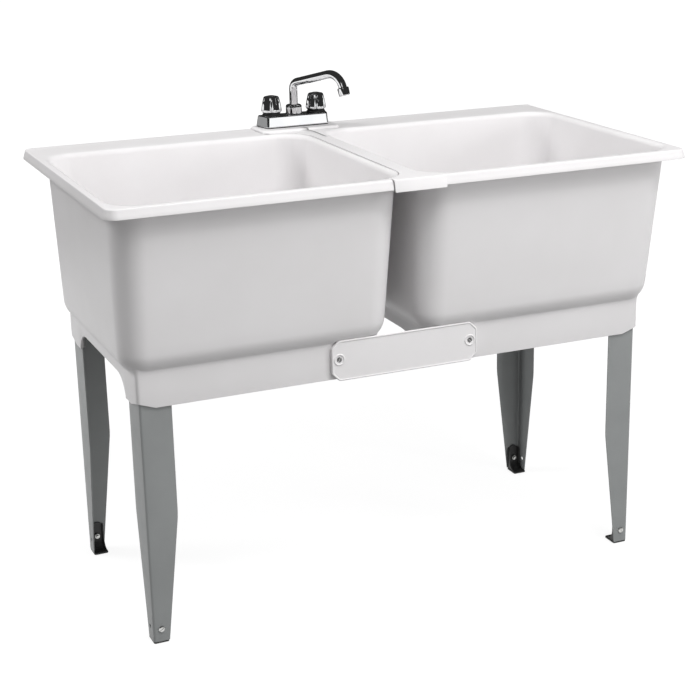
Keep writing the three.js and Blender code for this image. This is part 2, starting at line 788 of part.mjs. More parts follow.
// Leg with its outer corner on the Z axis, one flange along +X and one along +Y.
function leg() {
  const outer = legBendRadius;
  const inner = legBendRadius - legThickness;
  const section = new THREE.Shape();
  section.moveTo(outer, 0);
  section.lineTo(legFrontWidth, 0);
  section.lineTo(legFrontWidth, legThickness);
  section.lineTo(outer, legThickness);
  section.absarc(outer, outer, inner, -Math.PI / 2, -Math.PI, true);
  section.lineTo(legThickness, legSideWidth);
  section.lineTo(0, legSideWidth);
  section.lineTo(0, outer);
  section.absarc(outer, outer, outer, Math.PI, Math.PI * 1.5, false);
  const taper = (foot, full) => [
    [foot, legBottom - 1],
    [foot, legBottom],
    [full, legTaperStart],
    [full + 5, legTaperStart],
    [full + 5, legBottom - 1],
  ];
  const frontTaper = prismAcross(taper(legFootFrontWidth, legFrontWidth), -1, legThickness + 1);
  const sideTaper = prismAlong(taper(legFootSideWidth, legSideWidth), -1, legThickness + 1);
  const frontHole = rodAcross(legFrontHoleX, legHoleHeight, -1, legThickness + 1, legHoleRadius, smallSteps);
  const sideHole = rodAcross(0, 0, -1, legThickness + 1, legHoleRadius, smallSteps);
  sideHole.rotateZ(-Math.PI / 2);
  sideHole.translate(0, legSideHoleY, legHoleHeight);
  const angle = solid(prism(section, legBottom, legTop));
  return surfaceOf(cut(angle, [frontTaper, sideTaper, frontHole, sideHole].map(solid)));
}

const footX0 = legThickness + fit + 2;
const footBackY = legThickness + fit;
const footMiddleX = footX0 + footWidth / 2;

// Foot for the same corner: a ribbed strap on the +X flange, which flares into a floor plate.
function foot() {
  const x1 = footX0 + footWidth;
  const plate = loft([0, footPlate.thickness].map((z) => roundedRing({
    x0: 0.5,
    x1: 0.5 + footPlate.length,
    y0: 1,
    y1: 1 + footPlate.depth,
  }, 3, z, 2)));
  const shoulder = footWidth / 2;
  const face = new THREE.Shape();
  face.moveTo(footX0, 1);
  face.lineTo(x1, 1);
  face.lineTo(x1, footHeight - shoulder);
  face.absarc(footMiddleX, footHeight - shoulder, shoulder, 0, Math.PI, false);
  const flare = new THREE.Shape();
  flare.moveTo(footBackY, 1);
  flare.lineTo(footPlate.depth - 3, 1);
  flare.lineTo(footPlate.depth - 3, footPlate.thickness + 1);
  flare.quadraticCurveTo(footBackY + footRibDepth + 1, footPlate.thickness + 3, footBackY + footRibDepth, 26);
  flare.lineTo(footBackY + footRibDepth, footHeight - shoulder - 4);
  flare.quadraticCurveTo(footBackY + footRibDepth, footHeight - 5, footBackY, footHeight - 5);
  const dished = new THREE.Shape();
  dished.moveTo(footBackY + footWall, footHeight + 1);
  dished.lineTo(footBackY + footWall, 24);
  dished.quadraticCurveTo(footBackY + footWall + 2, footPlate.thickness + 1.5, footPlate.depth + 3, footPlate.thickness);
  dished.lineTo(footPlate.depth + 3, footHeight + 1);
  const ribWall = 2.5;
  const body = solid(prismAcross(face, footBackY, footPlate.depth))
    .intersect(solid(prismAlong(flare, footX0 - 1, x1 + 1)))
    .subtract(solid(prismAlong(dished, footX0 + ribWall, x1 - ribWall)));
  const slotHalf = footScrewRadius + fit;
  const slotX = legFrontHoleX;
  const slot = new THREE.Shape();
  slot.absarc(slotX, legHoleHeight, slotHalf, Math.PI, 0, false);
  slot.absarc(slotX, legHoleHeight + footTravel, slotHalf, 0, Math.PI, false);
  return surfaceOf(body.add(solid(plate)).subtract(solid(prismAcross(slot, 0, footBackY + footWall + 1))));
}

const footScrewLength = legThickness + 2 * fit + footWall + nutHeight + 4;

for (const [ySign, end] of [[-1, 'front'], [1, 'back']]) {
  for (const [xSign, hand] of sideNames) {
    const corner = [xSign * legCornerX, ySign * legCornerY];
    const own = (geometry) => mirrored(geometry, -xSign, -ySign);
    const holeX = corner[0] - xSign * legFrontHoleX;
    place(`leg_${end}_${hand}`, own(leg()), greyEnamel, ...corner);
    place(`foot_${end}_${hand}`, own(foot()), blackPlastic, ...corner);
    place(`foot_screw_${end}_${hand}`, own(screwAcross(footScrewLength, footScrewRadius)), zincSteel,
      holeX, corner[1] + ySign * fit, legHoleHeight);
    place(`foot_nut_${end}_${hand}`, own(nutAcross(footNutFlat, nutHeight, footScrewRadius)), zincSteel,
      holeX, corner[1] - ySign * (footBackY + footWall + fit), legHoleHeight);
  }
}

// ---------------------------------------------------------------- drain fittings

const stopperSeat = bowlFloorTop - floorFall + fit;

function stopper() {
  return turned([
    [0, -stopperPlugLength],
    [drainBore - 3, -stopperPlugLength],
    [drainBore - 1.5, 0],
    [stopperFlangeRadius, 0],
    [stopperFlangeRadius - 1, 3],
    [10, 4],
    [4, 6],
    [4, 12],
    [8, 15],
    [6, 18],
    [0, 18.5],
  ], 16);
}

function drainNut() {
  const inner = outletRadius + fit;
  const lip = drainWasherThickness + 2 * fit + 3;
  const cup = turned([
    [drainBore - 1, 0],
    [inner + drainNutWall, 0],
    [inner + drainNutWall, drainNutHeight],
    [inner, drainNutHeight],
    [inner, 3],
    [drainBore - 1, 3],
    [drainBore - 1, 0],
  ]);
  const lugs = Array.from({ length: 6 }, (_, i) => {
    const lug = box(inner + 2, inner + drainNutWall + 3, -3, 3, 0, drainNutHeight - lip);
    lug.rotateZ((i / 6) * Math.PI * 2);
    return solid(lug);
  });
  return surfaceOf(joined([solid(cup), ...lugs]));
}

function drainWasher() {
  const h = drainWasherThickness;
  return turned([
    [drainBore, 0],
    [outletRadius - fit, 0],
    [outletRadius - fit, h],
    [drainBore, h],
    [drainBore, 0],
  ], 16);
}

for (const [xSign, hand] of sideNames) {
  const x = xSign * drainX;
  const washerZ = outletBottom - fit - drainWasherThickness;
  place(`${hand}_drain_stopper`, stopper(), darkRubber, x, drainY, stopperSeat);
  place(`${hand}_drain_washer`, drainWasher(), darkRubber, x, drainY, washerZ);
  place(`${hand}_drain_nut`, drainNut(), whitePlastic, x, drainY, washerZ - fit - 3);
}

// ---------------------------------------------------------------- faucet

// Outline of the body at height z, longer at the back than at the front.
function faucetRing(inset, radius, z) {
  const plan = {
    x0: -faucetFrontLength / 2 + inset,
    x1: faucetFrontLength / 2 - inset,
    y0: -faucetFrontDepth + inset,
    y1: faucetBackDepth - inset,
  };
  const ring = roundedRing(plan, radius, z, 3);
  for (const p of ring) {
    const share = (p.y + faucetFrontDepth) / (faucetFrontDepth + faucetBackDepth);
    p.x += Math.sign(p.x) * faucetEndFlare * share;
  }
  return ring;
}

// Faucet pieces stand in a frame with its origin on the underside of the body.
function faucetBody() {
  const edge = faucetEdgeRadius;
  const shell = loft([
    faucetRing(0, faucetCornerRadius, 0),
    faucetRing(faucetTaper, faucetCornerRadius, faucetHeight - edge),
    faucetRing(faucetTaper + edge * 0.3, faucetCornerRadius, faucetHeight - edge * 0.3),
    faucetRing(faucetTaper + edge, faucetCornerRadius - 1, faucetHeight),
  ]);
  const half = supplySpacing / 2;
  const shanks = [-half, half].map((x) => solid(rod(x, 0, -shankLength, 1, shankRadius)));
  const bores = [-half, half].map((x) => solid(rod(x, 0, -shankLength - 1, faucetHeight / 2, shankBore, smallSteps)));
  return surfaceOf(cut(joined([solid(shell), ...shanks]), bores));
}

function faucetGasket() {
  const sheet = loft([0, gasketThickness].map((z) => faucetRing(1.5, faucetCornerRadius, z)));
  const half = supplySpacing / 2;
  const holes = [-half, half].map((x) => solid(rod(x, 0, -1, gasketThickness + 1, shankRadius + 2 * fit, 14)));
  return surfaceOf(cut(solid(sheet), holes));
}

function escutcheon() {
  const inner = stemRadius + fit;
  return turned([
    [inner, 0],
    [escutcheonRadius, 0],
    [escutcheonRadius - 1.5, escutcheonHeight - 1],
    [escutcheonRadius - 3, escutcheonHeight],
    [inner, escutcheonHeight],
    [inner, 0],
  ]);
}

const stemHeight = escutcheonHeight + 3.5;
const spindleHeight = knobHeight - 10;

function stem() {
  return turned([
    [0, 0],
    [stemRadius, 0],
    [stemRadius, stemHeight],
    [spindleRadius, stemHeight],
    [spindleRadius, stemHeight + spindleHeight - 4],
    [0, stemHeight + spindleHeight - 4],
  ], 16);
}

// Knob with V-shaped flutes that narrow and run out towards the top, bored from below for the stem.
function knob() {
  const pitch = (Math.PI * 2) / knobFlutes;
  const ring = (height, radius, depth) => {
    const half = THREE.MathUtils.mapLinear(height, 0, knobHeight, knobFluteFoot, knobFluteTip);
    const spread = [half, pitch * 0.33, pitch * 0.5, pitch * 0.67, pitch - half];
    const angles = Array.from({ length: knobFlutes }, (_, i) => [0, ...spread].map((a) => a + i * pitch)).flat();
    return angles.map((a, i) => {
      const r = radius - (i % (spread.length + 1) === 0 ? depth : 0);
      return new THREE.Vector3(r * Math.cos(a + knobClosedTurn), r * Math.sin(a + knobClosedTurn), height);
    });
  };
  const taper = (height) =>
    THREE.MathUtils.mapLinear(height, knobFootRound, knobHeight, knobFootRadius, knobTopRadius);
  const body = loft([
    ring(0, knobFootRadius - knobFootRound * 1.5, knobFluteDepth * 0.3),
    ring(knobFootRound * 0.3, knobFootRadius - knobFootRound * 0.5, knobFluteDepth * 0.7),
    ring(knobFootRound, taper(knobFootRound), knobFluteDepth),
    ring(knobHeight * 0.5, taper(knobHeight * 0.5), knobFluteDepth * 0.7),
    ring(knobHeight - knobTopRound, taper(knobHeight - knobTopRound), 0),
    ring(knobHeight, taper(knobHeight) - knobTopRound * 0.8, 0),
  ]);
  const lift = escutcheonHeight + fit;
  const skirtBore = rod(0, 0, -1, stemHeight - lift + fit, stemRadius + fit, 16);
  const spindleBore = rod(0, 0, 0, stemHeight + spindleHeight - 4 - lift + fit, spindleRadius + fit, smallSteps);
  return surfaceOf(cut(solid(body), [solid(skirtBore), solid(spindleBore)]));
}

function knobCap() {
  return turned([
    [0, 0],
    [capRadius, 0],
    [capRadius, capHeight * 0.5],
    [capRadius * 0.7, capHeight * 0.9],
    [0, capHeight],
  ]);
}

function shankNut() {
  const hexagon = rod(0, 0, 0, 9, 16.5, 6);
  const hole = rod(0, 0, -1, 10, shankRadius + 2 * fit, 14);
  return surfaceOf(solid(hexagon).subtract(solid(hole)));
}

const knobNames = [['hot', supplyX[0], lowerFlangeUnderside], ['cold', supplyX[1], lapUnderside]];
for (const [name, x, underside] of knobNames) {
  const z = faucetTop + fit;
  place(`${name}_stem`, stem(), chrome, x, faucetY, z);
  place(`${name}_escutcheon`, escutcheon(), blackPlastic, x, faucetY, z);
  place(`${name}_handle`, knob(), chrome, x, faucetY, z + escutcheonHeight + fit);
  place(`${name}_cap`, knobCap(), chrome, x, faucetY, z + escutcheonHeight + fit + knobHeight + fit);
  place(`${name}_shank_nut`, shankNut(), blackPlastic, x, faucetY, underside - fit - 9);
}

place('faucet_body', faucetBody(), chrome, faucetX, faucetY, faucetBottom);
place('faucet_gasket', faucetGasket(), darkRubber, faucetX, faucetY, gasketBottom);

// Coupling nut that holds the spout down, with six lobes and a wider bore for the seal.
function spoutNut() {
  const points = 30;
  const ring = (height, radius, depth) => Array.from({ length: points }, (_, i) => {
    const a = (i / points) * Math.PI * 2;
    const r = radius * (1 - depth * (0.5 - 0.5 * Math.cos(a * 6)));
    return new THREE.Vector3(r * Math.cos(a), r * Math.sin(a), height);
  });
  const body = loft([
    ring(0, spoutNutRadius, 0.02),
    ring(2, spoutNutRadius, 0.1),
    ring(spoutNutHeight - 5, spoutNutRadius, 0.1),
    ring(spoutNutHeight, spoutRadius + 4, 0.02),
  ]);
  const bore = rod(0, 0, -1, spoutNutHeight + 1, spoutRadius + fit);
  const sealSeat = rod(0, 0, -1, sealHeight + 2 * fit, spoutRadius + 3.5);
  return surfaceOf(cut(solid(body), [solid(bore), solid(sealSeat)]));
}

function spoutSeal() {
  const r0 = spoutRadius + fit;
  const r1 = spoutRadius + 3.2;
  return turned([[r0, 0], [r1, 0], [r1, sealHeight], [r0, sealHeight], [r0, 0]], 16);
}

// Centre line of the spout in its own plane: reach to the front, height, and tilt from plumb.
function spoutLine() {
  const first = new THREE.Vector2(0, spoutRise);
  const second = new THREE.Vector2(spoutReach, spoutRise + spoutReach * Math.tan(spoutRunSlope));
  const firstTurn = Math.PI / 2 - spoutRunSlope;
  const dropTilt = Math.PI - spoutDropSlope;
  const secondTurn = dropTilt - firstTurn;
  const stations = [[0, 0, 0]];
  const bend = (corner, radius, tiltIn, turn, steps) => {
    const reach = radius * Math.tan(turn / 2);
    const start = [corner.x - reach * Math.sin(tiltIn), corner.y - reach * Math.cos(tiltIn)];
    const centre = [start[0] + radius * Math.cos(tiltIn), start[1] - radius * Math.sin(tiltIn)];
    for (let i = 0; i <= steps; i += 1) {
      const tilt = tiltIn + (i / steps) * turn;
      stations.push([centre[0] - radius * Math.cos(tilt), centre[1] + radius * Math.sin(tilt), tilt]);
    }
  };
  bend(first, spoutFirstBend, 0, firstTurn, 4);
  bend(second, spoutSecondBend, firstTurn, secondTurn, 4);
  const end = [
    second.x + spoutDropLength * Math.sin(dropTilt),
    second.y + spoutDropLength * Math.cos(dropTilt),
    dropTilt,
  ];
  stations.push(end);
  return stations;
}

function spoutTube() {
  const sides = 14;
  const ring = ([reach, height, tilt], radius) => Array.from({ length: sides }, (_, i) => {
    const a = (i / sides) * Math.PI * 2;
    const across = radius * Math.cos(a);
    return new THREE.Vector3(
      radius * Math.sin(a),
      -(reach + across * Math.cos(tilt)),
      height - across * Math.sin(tilt),
    );
  });
  const line = spoutLine();
  const outside = line.map((station) => ring(station, spoutRadius));
  const inside = line.map((station) => ring(station, spoutBore)).reverse();
  return loft([...outside, ...inside], true);
}

// Outlet cup on the end of the tube, mouth down, its rim on the plane z = 0.
function spoutOutlet() {
  const collar = outletCupLength - outletCupOverlap;
  return turned([
    [spoutBore, 0],
    [outletCupRadius - 1, 0],
    [outletCupRadius, 1.5],
    [outletCupRadius, outletCupLength - 2],
    [outletCupRadius - 2, outletCupLength],
    [spoutRadius + fit, outletCupLength],
    [spoutRadius + fit, collar],
    [spoutBore, collar],
    [spoutBore, 0],
  ]);
}

const spoutFoot = faucetTop + fit;
place('spout_nut', spoutNut(), chrome, faucetX, faucetY, spoutFoot);
place('spout_seal', spoutSeal(), darkRubber, faucetX, faucetY, spoutFoot + fit);

const spout = new THREE.Group();
spout.position.set(faucetX, faucetY, spoutFoot);
spout.rotation.z = spoutHeading;
const tube = new THREE.Mesh(closed(spoutTube()), chrome);
tube.name = 'spout_tube';
spout.add(tube);
const [tipReach, tipHeight, tipTilt] = spoutLine().at(-1);
const tipDrop = outletCupLength - outletCupOverlap + fit;
const outlet = new THREE.Mesh(closed(spoutOutlet()), chrome);
outlet.name = 'spout_outlet';
outlet.position.set(0, -(tipReach + tipDrop * Math.sin(tipTilt)), tipHeight + tipDrop * Math.cos(tipTilt));
outlet.rotation.x = tipTilt - Math.PI;
spout.add(outlet);
sink.add(spout);

export default sink;
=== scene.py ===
"""Looks of the double-bowl utility laundry sink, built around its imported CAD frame.

Sizes are written in millimetres and turned into metres when a mesh is made.
X runs along the two tubs, Y to the back and Z up, with the origin on the floor.
"""

import json
import math

import bmesh
import bpy
from mathutils import Matrix, Vector


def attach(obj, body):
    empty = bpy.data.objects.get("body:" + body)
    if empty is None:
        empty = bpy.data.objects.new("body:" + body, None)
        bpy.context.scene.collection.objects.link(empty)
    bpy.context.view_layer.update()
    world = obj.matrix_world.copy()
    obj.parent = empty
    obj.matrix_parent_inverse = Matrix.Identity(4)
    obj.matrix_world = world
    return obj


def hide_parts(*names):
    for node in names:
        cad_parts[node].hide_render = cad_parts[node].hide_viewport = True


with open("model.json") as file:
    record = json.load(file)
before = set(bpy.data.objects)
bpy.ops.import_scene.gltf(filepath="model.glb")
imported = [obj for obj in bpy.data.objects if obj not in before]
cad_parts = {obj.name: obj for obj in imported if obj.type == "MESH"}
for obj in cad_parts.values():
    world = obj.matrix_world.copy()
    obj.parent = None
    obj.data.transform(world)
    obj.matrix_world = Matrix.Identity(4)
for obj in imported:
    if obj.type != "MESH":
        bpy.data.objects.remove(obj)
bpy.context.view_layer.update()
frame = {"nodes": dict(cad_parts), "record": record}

MM = 0.001
ROOT = "sink"
RING_STEPS, RING_SPANS = 16, 8
BACK_CORNER = 3 * (RING_STEPS + RING_SPANS)  # first point of a ring's fourth corner

# ---------------------------------------------------------------- sizes, as in the CAD

PIECE_GAP = 0.3
RIM_TOP, RIM_HALF_LENGTH, RIM_HALF_DEPTH, RIM_CORNER = 863.0, 587.5, 324.0, 26.0
RIM_JOINT_X, APRON_FLARE = 6.6, 4.5
BOWL_OUTER, BOWL_INNER, BOWL_FRONT, BOWL_BACK = 568.0, 20.7, 302.3, 222.9
BOWL_TOP_CORNER, BOWL_FOOT_CORNER = 60, 48
END_DRAFT = math.tan(math.radians(2.3))
FRONT_DRAFT = math.tan(math.radians(8))
BACK_DRAFT = math.tan(math.radians(1.8))
WALL, FLOOR_RADIUS, FLOOR_UNDER = 4.5, 45.0, 534.0
WALL_FOOT = FLOOR_UNDER + FLOOR_RADIUS
DRAIN_X, DRAIN_Y, DRAIN_SEAT, OUTLET_BOTTOM = 294.35, -22.0, 530.8, 454.0
SKIRT_OUTER, SKIRT_INNER, SKIRT_FRONT = 531.3, 56.0, 243.3
SKIRT_BOTTOM, SKIRT_SHELF, SKIRT_WALL = 474.0, 548.0, 4.0
ARCH_FOOT, ARCH_SHOULDER, ARCH_TOP = 165.5, 110.0, 512.5
LAP_HALF_WIDTH, LAP_RADIUS, LAP_HALF_HOOK, LAP_STEP = 12.0, 75.0, 52.0, 2.0
LAP_FRONT_ARC, LAP_BACK_ARC, LAP_EDGE = -238.0, 165.0, 317.0
LAP_CENTRE = -LAP_HALF_WIDTH - LAP_RADIUS
LAP_TOP, DECK_TOP = 864.0, 868.0
FAUCET_X, FAUCET_Y, FAUCET_BOTTOM, FAUCET_TOP = -6.0, 288.0, 870.1, 893.1
DECK_LEFT, DECK_RIGHT, DECK_FRONT, DECK_BACK = FAUCET_X - 88, FAUCET_X + 88, 238, 322.5
LEG_X, LEG_Y, LEG_STEEL, LEG_BEND = 527.0, 239.0, 2.0, 5.0
LEG_WIDTHS, LEG_FOOT_WIDTHS = (61.0, 69.0), (31.5, 33.0)

# ---------------------------------------------------------------- points and rings


def mix(a, b, share):
    """Point that lies a share of the way from a to b."""
    return tuple(p + (q - p) * share for p, q in zip(a, b))


def quarter_turn(steps):
    """Angles from 0 to 90 degrees, with both ends."""
    return [math.radians(90 * i / steps) for i in range(steps + 1)]


def arc(cx, cy, radius, start, end, steps):
    """Points of an arc between two angles in degrees, with both ends."""
    angles = [math.radians(start + (end - start) * i / steps) for i in range(steps + 1)]
    return [(cx + radius * math.cos(a), cy + radius * math.sin(a)) for a in angles]


def curve(start, corner, end, steps):
    """Points of a quadratic curve that heads for a corner between its ends."""
    shares = [i / steps for i in range(steps + 1)]
    return [mix(mix(start, corner, t), mix(corner, end, t), t) for t in shares]


def eased_corner(before, corner, after, reach, steps):
    """Curve in place of a corner, from a reach before it to the same reach after it."""
    start = mix(corner, before, reach / math.dist(corner, before))
    end = mix(corner, after, reach / math.dist(corner, after))
    return curve(start, corner, end, steps)


def round_corners(profile, radius, steps=4):
    """A profile of points with each inner corner rounded."""
    out = [profile[0]]
    for before, corner, after in zip(profile, profile[1:], profile[2:]):
        reach = min(radius, math.dist(corner, before) * 0.45, math.dist(corner, after) * 0.45)
        out += [corner] if reach < 1e-4 else eased_corner(before, corner, after, reach, steps)
    out.append(profile[-1])
    return out


def rounded_ring(x0, x1, y0, y1, radii, z, steps=RING_STEPS, spans=RING_SPANS):
    """Rounded rectangle, anticlockwise from its (x0, y0) corner.

    spans is the count of equal stretches on each side, or a list of the shares of a side at which
    its points lie.
    """
    shares = spans if hasattr(spans, "__len__") else [i / spans for i in range(1, spans)]
    r = radii if hasattr(radii, "__len__") else [radii] * 4
    corners = [
        arc(x0 + r[0], y0 + r[0], r[0], 180, 270, steps),
        arc(x1 - r[1], y0 + r[1], r[1], 270, 360, steps),
        arc(x1 - r[2], y1 - r[2], r[2], 0, 90, steps),
        arc(x0 + r[3], y1 - r[3], r[3], 90, 180, steps),
    ]
    ring = []
    for corner, following in zip(corners, corners[1:] + corners[:1]):
        ring += corner
        ring += [mix(corner[-1], following[0], t) for t in shares]
    return [(x, y, z) for x, y in ring]


def polar_ring(radius, z, steps):
    """Ring about Z whose radius is a number or a function of the angle."""
    ring = []
    for i in range(steps):
        a = math.tau * i / steps
        r = radius(a) if callable(radius) else radius
        ring.append((r * math.cos(a), r * math.sin(a), z))
    return ring


def lathe(profile, steps):
    """Rings of a profile of (radius, height) points turned about Z."""
    return [polar_ring(r, h, steps) for r, h in profile]


def thread_rings(radius, start, end, pitch, depth, steps=40):
    """Rings of a screw thread about Z between two heights."""
    count = max(2, int(abs(end - start) / pitch * 6))
    rings = []
    for k in range(count + 1):
        z = start + (end - start) * k / count
        turned = math.tau * z / pitch
        rings.append(polar_ring(lambda a: radius - depth * (0.5 + 0.5 * math.cos(turned - a)), z, steps))
    return rings


# ---------------------------------------------------------------- shells and pieces


class Shell:
    """Vertices and faces of one piece, gathered from closed surfaces."""

    def __init__(self):
        self.verts = []
        self.faces = []

    def skin(self, rings, looped=False):
        """Surface over rings with equal counts of points. Open stacks get flat ends."""
        start, count = len(self.verts), len(rings[0])
        self.verts += [tuple(p) for ring in rings for p in ring]
        faces = []
        for layer in range(len(rings) if looped else len(rings) - 1):
            low, high = layer * count, (layer + 1) % len(rings) * count
            for i in range(count):
                j = (i + 1) % count
                faces.append((low + i, low + j, high + j, high + i))
        if not looped:
            last = (len(rings) - 1) * count
            faces.append(range(count - 1, -1, -1))
            faces.append(range(last, last + count))
        self.faces += [tuple(i + start for i in face) for face in faces]
        return self

    def join(self, other):
        start = len(self.verts)
        self.verts += other.verts
        self.faces += [tuple(i + start for i in face) for face in other.faces]
        return self

    def placed(self, place, flip=False):
        """Copy whose points are moved by a function."""
        other = Shell()
        other.verts = [tuple(place(*v)) for v in self.verts]
        other.faces = [tuple(reversed(f)) if flip else f for f in self.faces]
        return other

    def mirrored(self, sx, sy=1):
        return self.placed(lambda x, y, z: (sx * x, sy * y, z), sx * sy < 0)

    def moved(self, dx=0, dy=0, dz=0):
        return self.placed(lambda x, y, z: (x + dx, y + dy, z + dz))

    def turned(self, angle, axis):
        matrix = Matrix.Rotation(angle, 4, axis)
        return self.placed(lambda x, y, z: matrix @ Vector((x, y, z)))

    def laid(self):
        """Copy with Y and Z swapped, so that what was drawn up Z runs along Y."""
        return self.placed(lambda x, y, z: (x, z, y), True)


def solid_lathe(profile, steps, radius):
    """Solid of revolution whose profile starts and ends on the axis; its corners are eased."""
    eased = [(max(r, 0.01), h) for r, h in round_corners(profile, radius)]
    return Shell().skin(lathe(eased, steps))


def ring_lathe(profile, steps, radius):
    """Solid of revolution of a closed profile that stays off the axis."""
    eased = round_corners([profile[-1], *profile, profile[0]], radius)[1:-1]
    return Shell().skin(lathe(eased, steps), looped=True)


def box_shell(x0, x1, y0, y1, z0, z1, ease):
    """Block with eased edges."""
    rings = []
    for z, inset in ((z0, ease), (z0 + ease, 0), (z1 - ease, 0), (z1, ease)):
        rings.append(rounded_ring(x0 + inset, x1 - inset, y0 + inset, y1 - inset,
                                  max(ease - inset, 0.05) + 0.2, z, steps=3, spans=1))
    return Shell().skin(rings)


def add_object(name, data):
    thing = bpy.data.objects.new(name, data)
    bpy.context.scene.collection.objects.link(thing)
    return thing


def shell_mesh(name, shell):
    mesh = bpy.data.meshes.new(name)
    mesh.from_pydata([(x * MM, y * MM, z * MM) for x, y, z in shell.verts], [], shell.faces)
    return mesh


def make_piece(name, shell, look, node, sharp, body=ROOT):
    """Object made from a shell, riding on a body in place of its CAD node.

    look is a material and the name of its slot, and sharp the angle past which an edge stays sharp.
    """
    material, slot = look
    mesh = shell_mesh(name, shell)
    work = bmesh.new()
    work.from_mesh(mesh)
    bmesh.ops.remove_doubles(work, verts=work.verts, dist=1e-6)
    bmesh.ops.recalc_face_normals(work, faces=work.faces)
    work.to_mesh(mesh)
    work.free()
    mesh.shade_smooth()
    mesh.set_sharp_from_angle(angle=math.radians(sharp))
    mesh.materials.append(material)
    piece = add_object(name, mesh)
    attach(piece, body)
    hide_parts(node)
    return piece


def subtract(piece, shell):
    """Cuts a shell's form out of a piece and keeps the result in its mesh."""
    mesh = shell_mesh("cutter", shell)
    cutter = add_object("cutter", mesh)
    modifier = piece.modifiers.new("cut", "BOOLEAN")
    modifier.object = cutter
    modifier.operation = "DIFFERENCE"
    modifier.solver = "EXACT"
    graph = bpy.context.evaluated_depsgraph_get()
    graph.update()
    old = piece.data
    piece.data = bpy.data.meshes.new_from_object(piece.evaluated_get(graph))
    piece.modifiers.clear()
    bpy.data.meshes.remove(old)
    bpy.data.objects.remove(cutter)
    bpy.data.meshes.remove(mesh)


# ---------------------------------------------------------------- materials


class Graph:
    """Shader nodes of one tree."""

    def __init__(self, tree):
        self.nodes = tree.nodes
        self.links = tree.links

    def add(self, kind, inputs, output=0, **settings):
        """New node's output. Each input is a value, or another output that feeds it."""
        node = self.nodes.new("ShaderNode" + kind)
        for name, value in settings.items():
            setattr(node, name, value)
        for socket, value in inputs.items():
            if isinstance(value, bpy.types.NodeSocket):
                self.links.new(value, node.inputs[socket])
            else:
                node.inputs[socket].default_value = value
        return node.outputs[output]

    def math(self, operation, *values):
        return self.add("Math", dict(enumerate(values)), operation=operation)

    def product(self, first, *others):
        for other in others:
            first = self.math("MULTIPLY", first, other)
        return first

    def smooth(self, value, start, end, low=0.0, high=1.0):
        """low at start, high at end, with a smooth step between them."""
        inputs = {"Value": value, "From Min": start, "From Max": end, "To Min": low, "To Max": high}
        return self.add("MapRange", inputs, "Result", interpolation_type="SMOOTHSTEP")


class Look(Graph):
    """A node material with one Principled shader."""

    def __init__(self, name):
        self.material = bpy.data.materials.new(name)
        self.material.use_nodes = True
        super().__init__(self.material.node_tree)
        self.shader = self.nodes["Principled BSDF"]
        self.coords = self.add("TexCoord", {}, "Object")

    def place(self):
        """X, Y and Z in millimetres."""
        scaled = self.add("VectorMath", {0: self.coords, "Scale": 1 / MM}, operation="SCALE")
        split = self.nodes.new("ShaderNodeSeparateXYZ")
        self.links.new(scaled, split.inputs[0])
        return split.outputs

    def noise(self, scale, detail):
        return self.add("TexNoise", {"Scale": scale, "Detail": detail, "Vector": self.coords}, "Fac")

    def ramp(self, factor, dark, light):
        node = self.nodes.new("ShaderNodeValToRGB")
        for element, position, color in zip(node.color_ramp.elements, (0.3, 0.7), (dark, light)):
            element.position = position
            element.color = (*color, 1)
        self.links.new(factor, node.inputs["Fac"])
        return node.outputs["Color"]

    def spread(self, factor, low, high):
        return self.add("MapRange", {"Value": factor, "To Min": low, "To Max": high}, "Result")

    def bump(self, height, strength, distance, below=None):
        inputs = {"Height": height, "Strength": strength, "Distance": distance}
        if below is not None:
            inputs["Normal"] = below
        return self.add("Bump", inputs, "Normal")

    def link(self, output, socket):
        self.links.new(output, self.shader.inputs[socket])


def grey(value):
    return (value, value, value)


CREASE_X, CREASE_BEND_Y, CREASE_BEND_SLOPE = 9.8, 217, 0.2
CREASE_SIDE_SHARE = 0.55


def lap_crease_and_painted_shade(look):
    """Depth, 0 to 1, of the crease in the lap's top, from the faucet deck forwards, which also sets the
    painted shade drawn along it. Its left side is a soft spread of painted shade.
    """
    x, y, z = look.place()
    bend = look.math("MINIMUM", look.product(look.math("SUBTRACT", CREASE_BEND_Y, y), CREASE_BEND_SLOPE), 0)
    across = look.math("SUBTRACT", look.math("SUBTRACT", x, CREASE_X), bend)
    line = look.product(look.smooth(across, -4.2, -1), look.smooth(across, 3, 1))
    # side: a soft band of painted shade to the left of the crease, which also lowers the relief a little.
    side = look.product(look.smooth(across, -17, 0), look.smooth(across, 2, 0), look.smooth(y, 160, 235),
                        CREASE_SIDE_SHARE)
    ends = look.product(look.smooth(y, 138, 162), look.smooth(y, 266, 248), look.smooth(z, 855, 860))
    return look.product(look.math("MAXIMUM", line, side), ends)


def joint_shade(look):
    """Share of painted shade, 1 in the groove of the left rim beside the lap's edge, fading out round its end
    curves; it also sinks a faint relief there.
    """
    x, y, z = look.place()
    before = look.math("MINIMUM", look.math("SUBTRACT", y, LAP_FRONT_ARC), 0)
    behind = look.math("MAXIMUM", look.math("SUBTRACT", y, LAP_BACK_ARC), 0)
    beyond = look.math("ADD", before, behind)
    from_centre = look.math("SUBTRACT", x, LAP_CENTRE)
    square = look.math("ADD", look.product(from_centre, from_centre), look.product(beyond, beyond))
    from_edge = look.math("SUBTRACT", LAP_RADIUS, look.math("SQRT", square))
    near = look.product(look.smooth(from_edge, 4.2, 1.8), look.smooth(x, -70, -62))
    ends = look.product(look.smooth(y, -245, -185), look.smooth(y, 236, 200), look.smooth(z, 846, 852))
    return look.product(near, ends)


# Colour of the painted shade in the lap's crease and in the groove beside the lap.
SHADE_COLOR = (0.1, 0.098, 0.098)


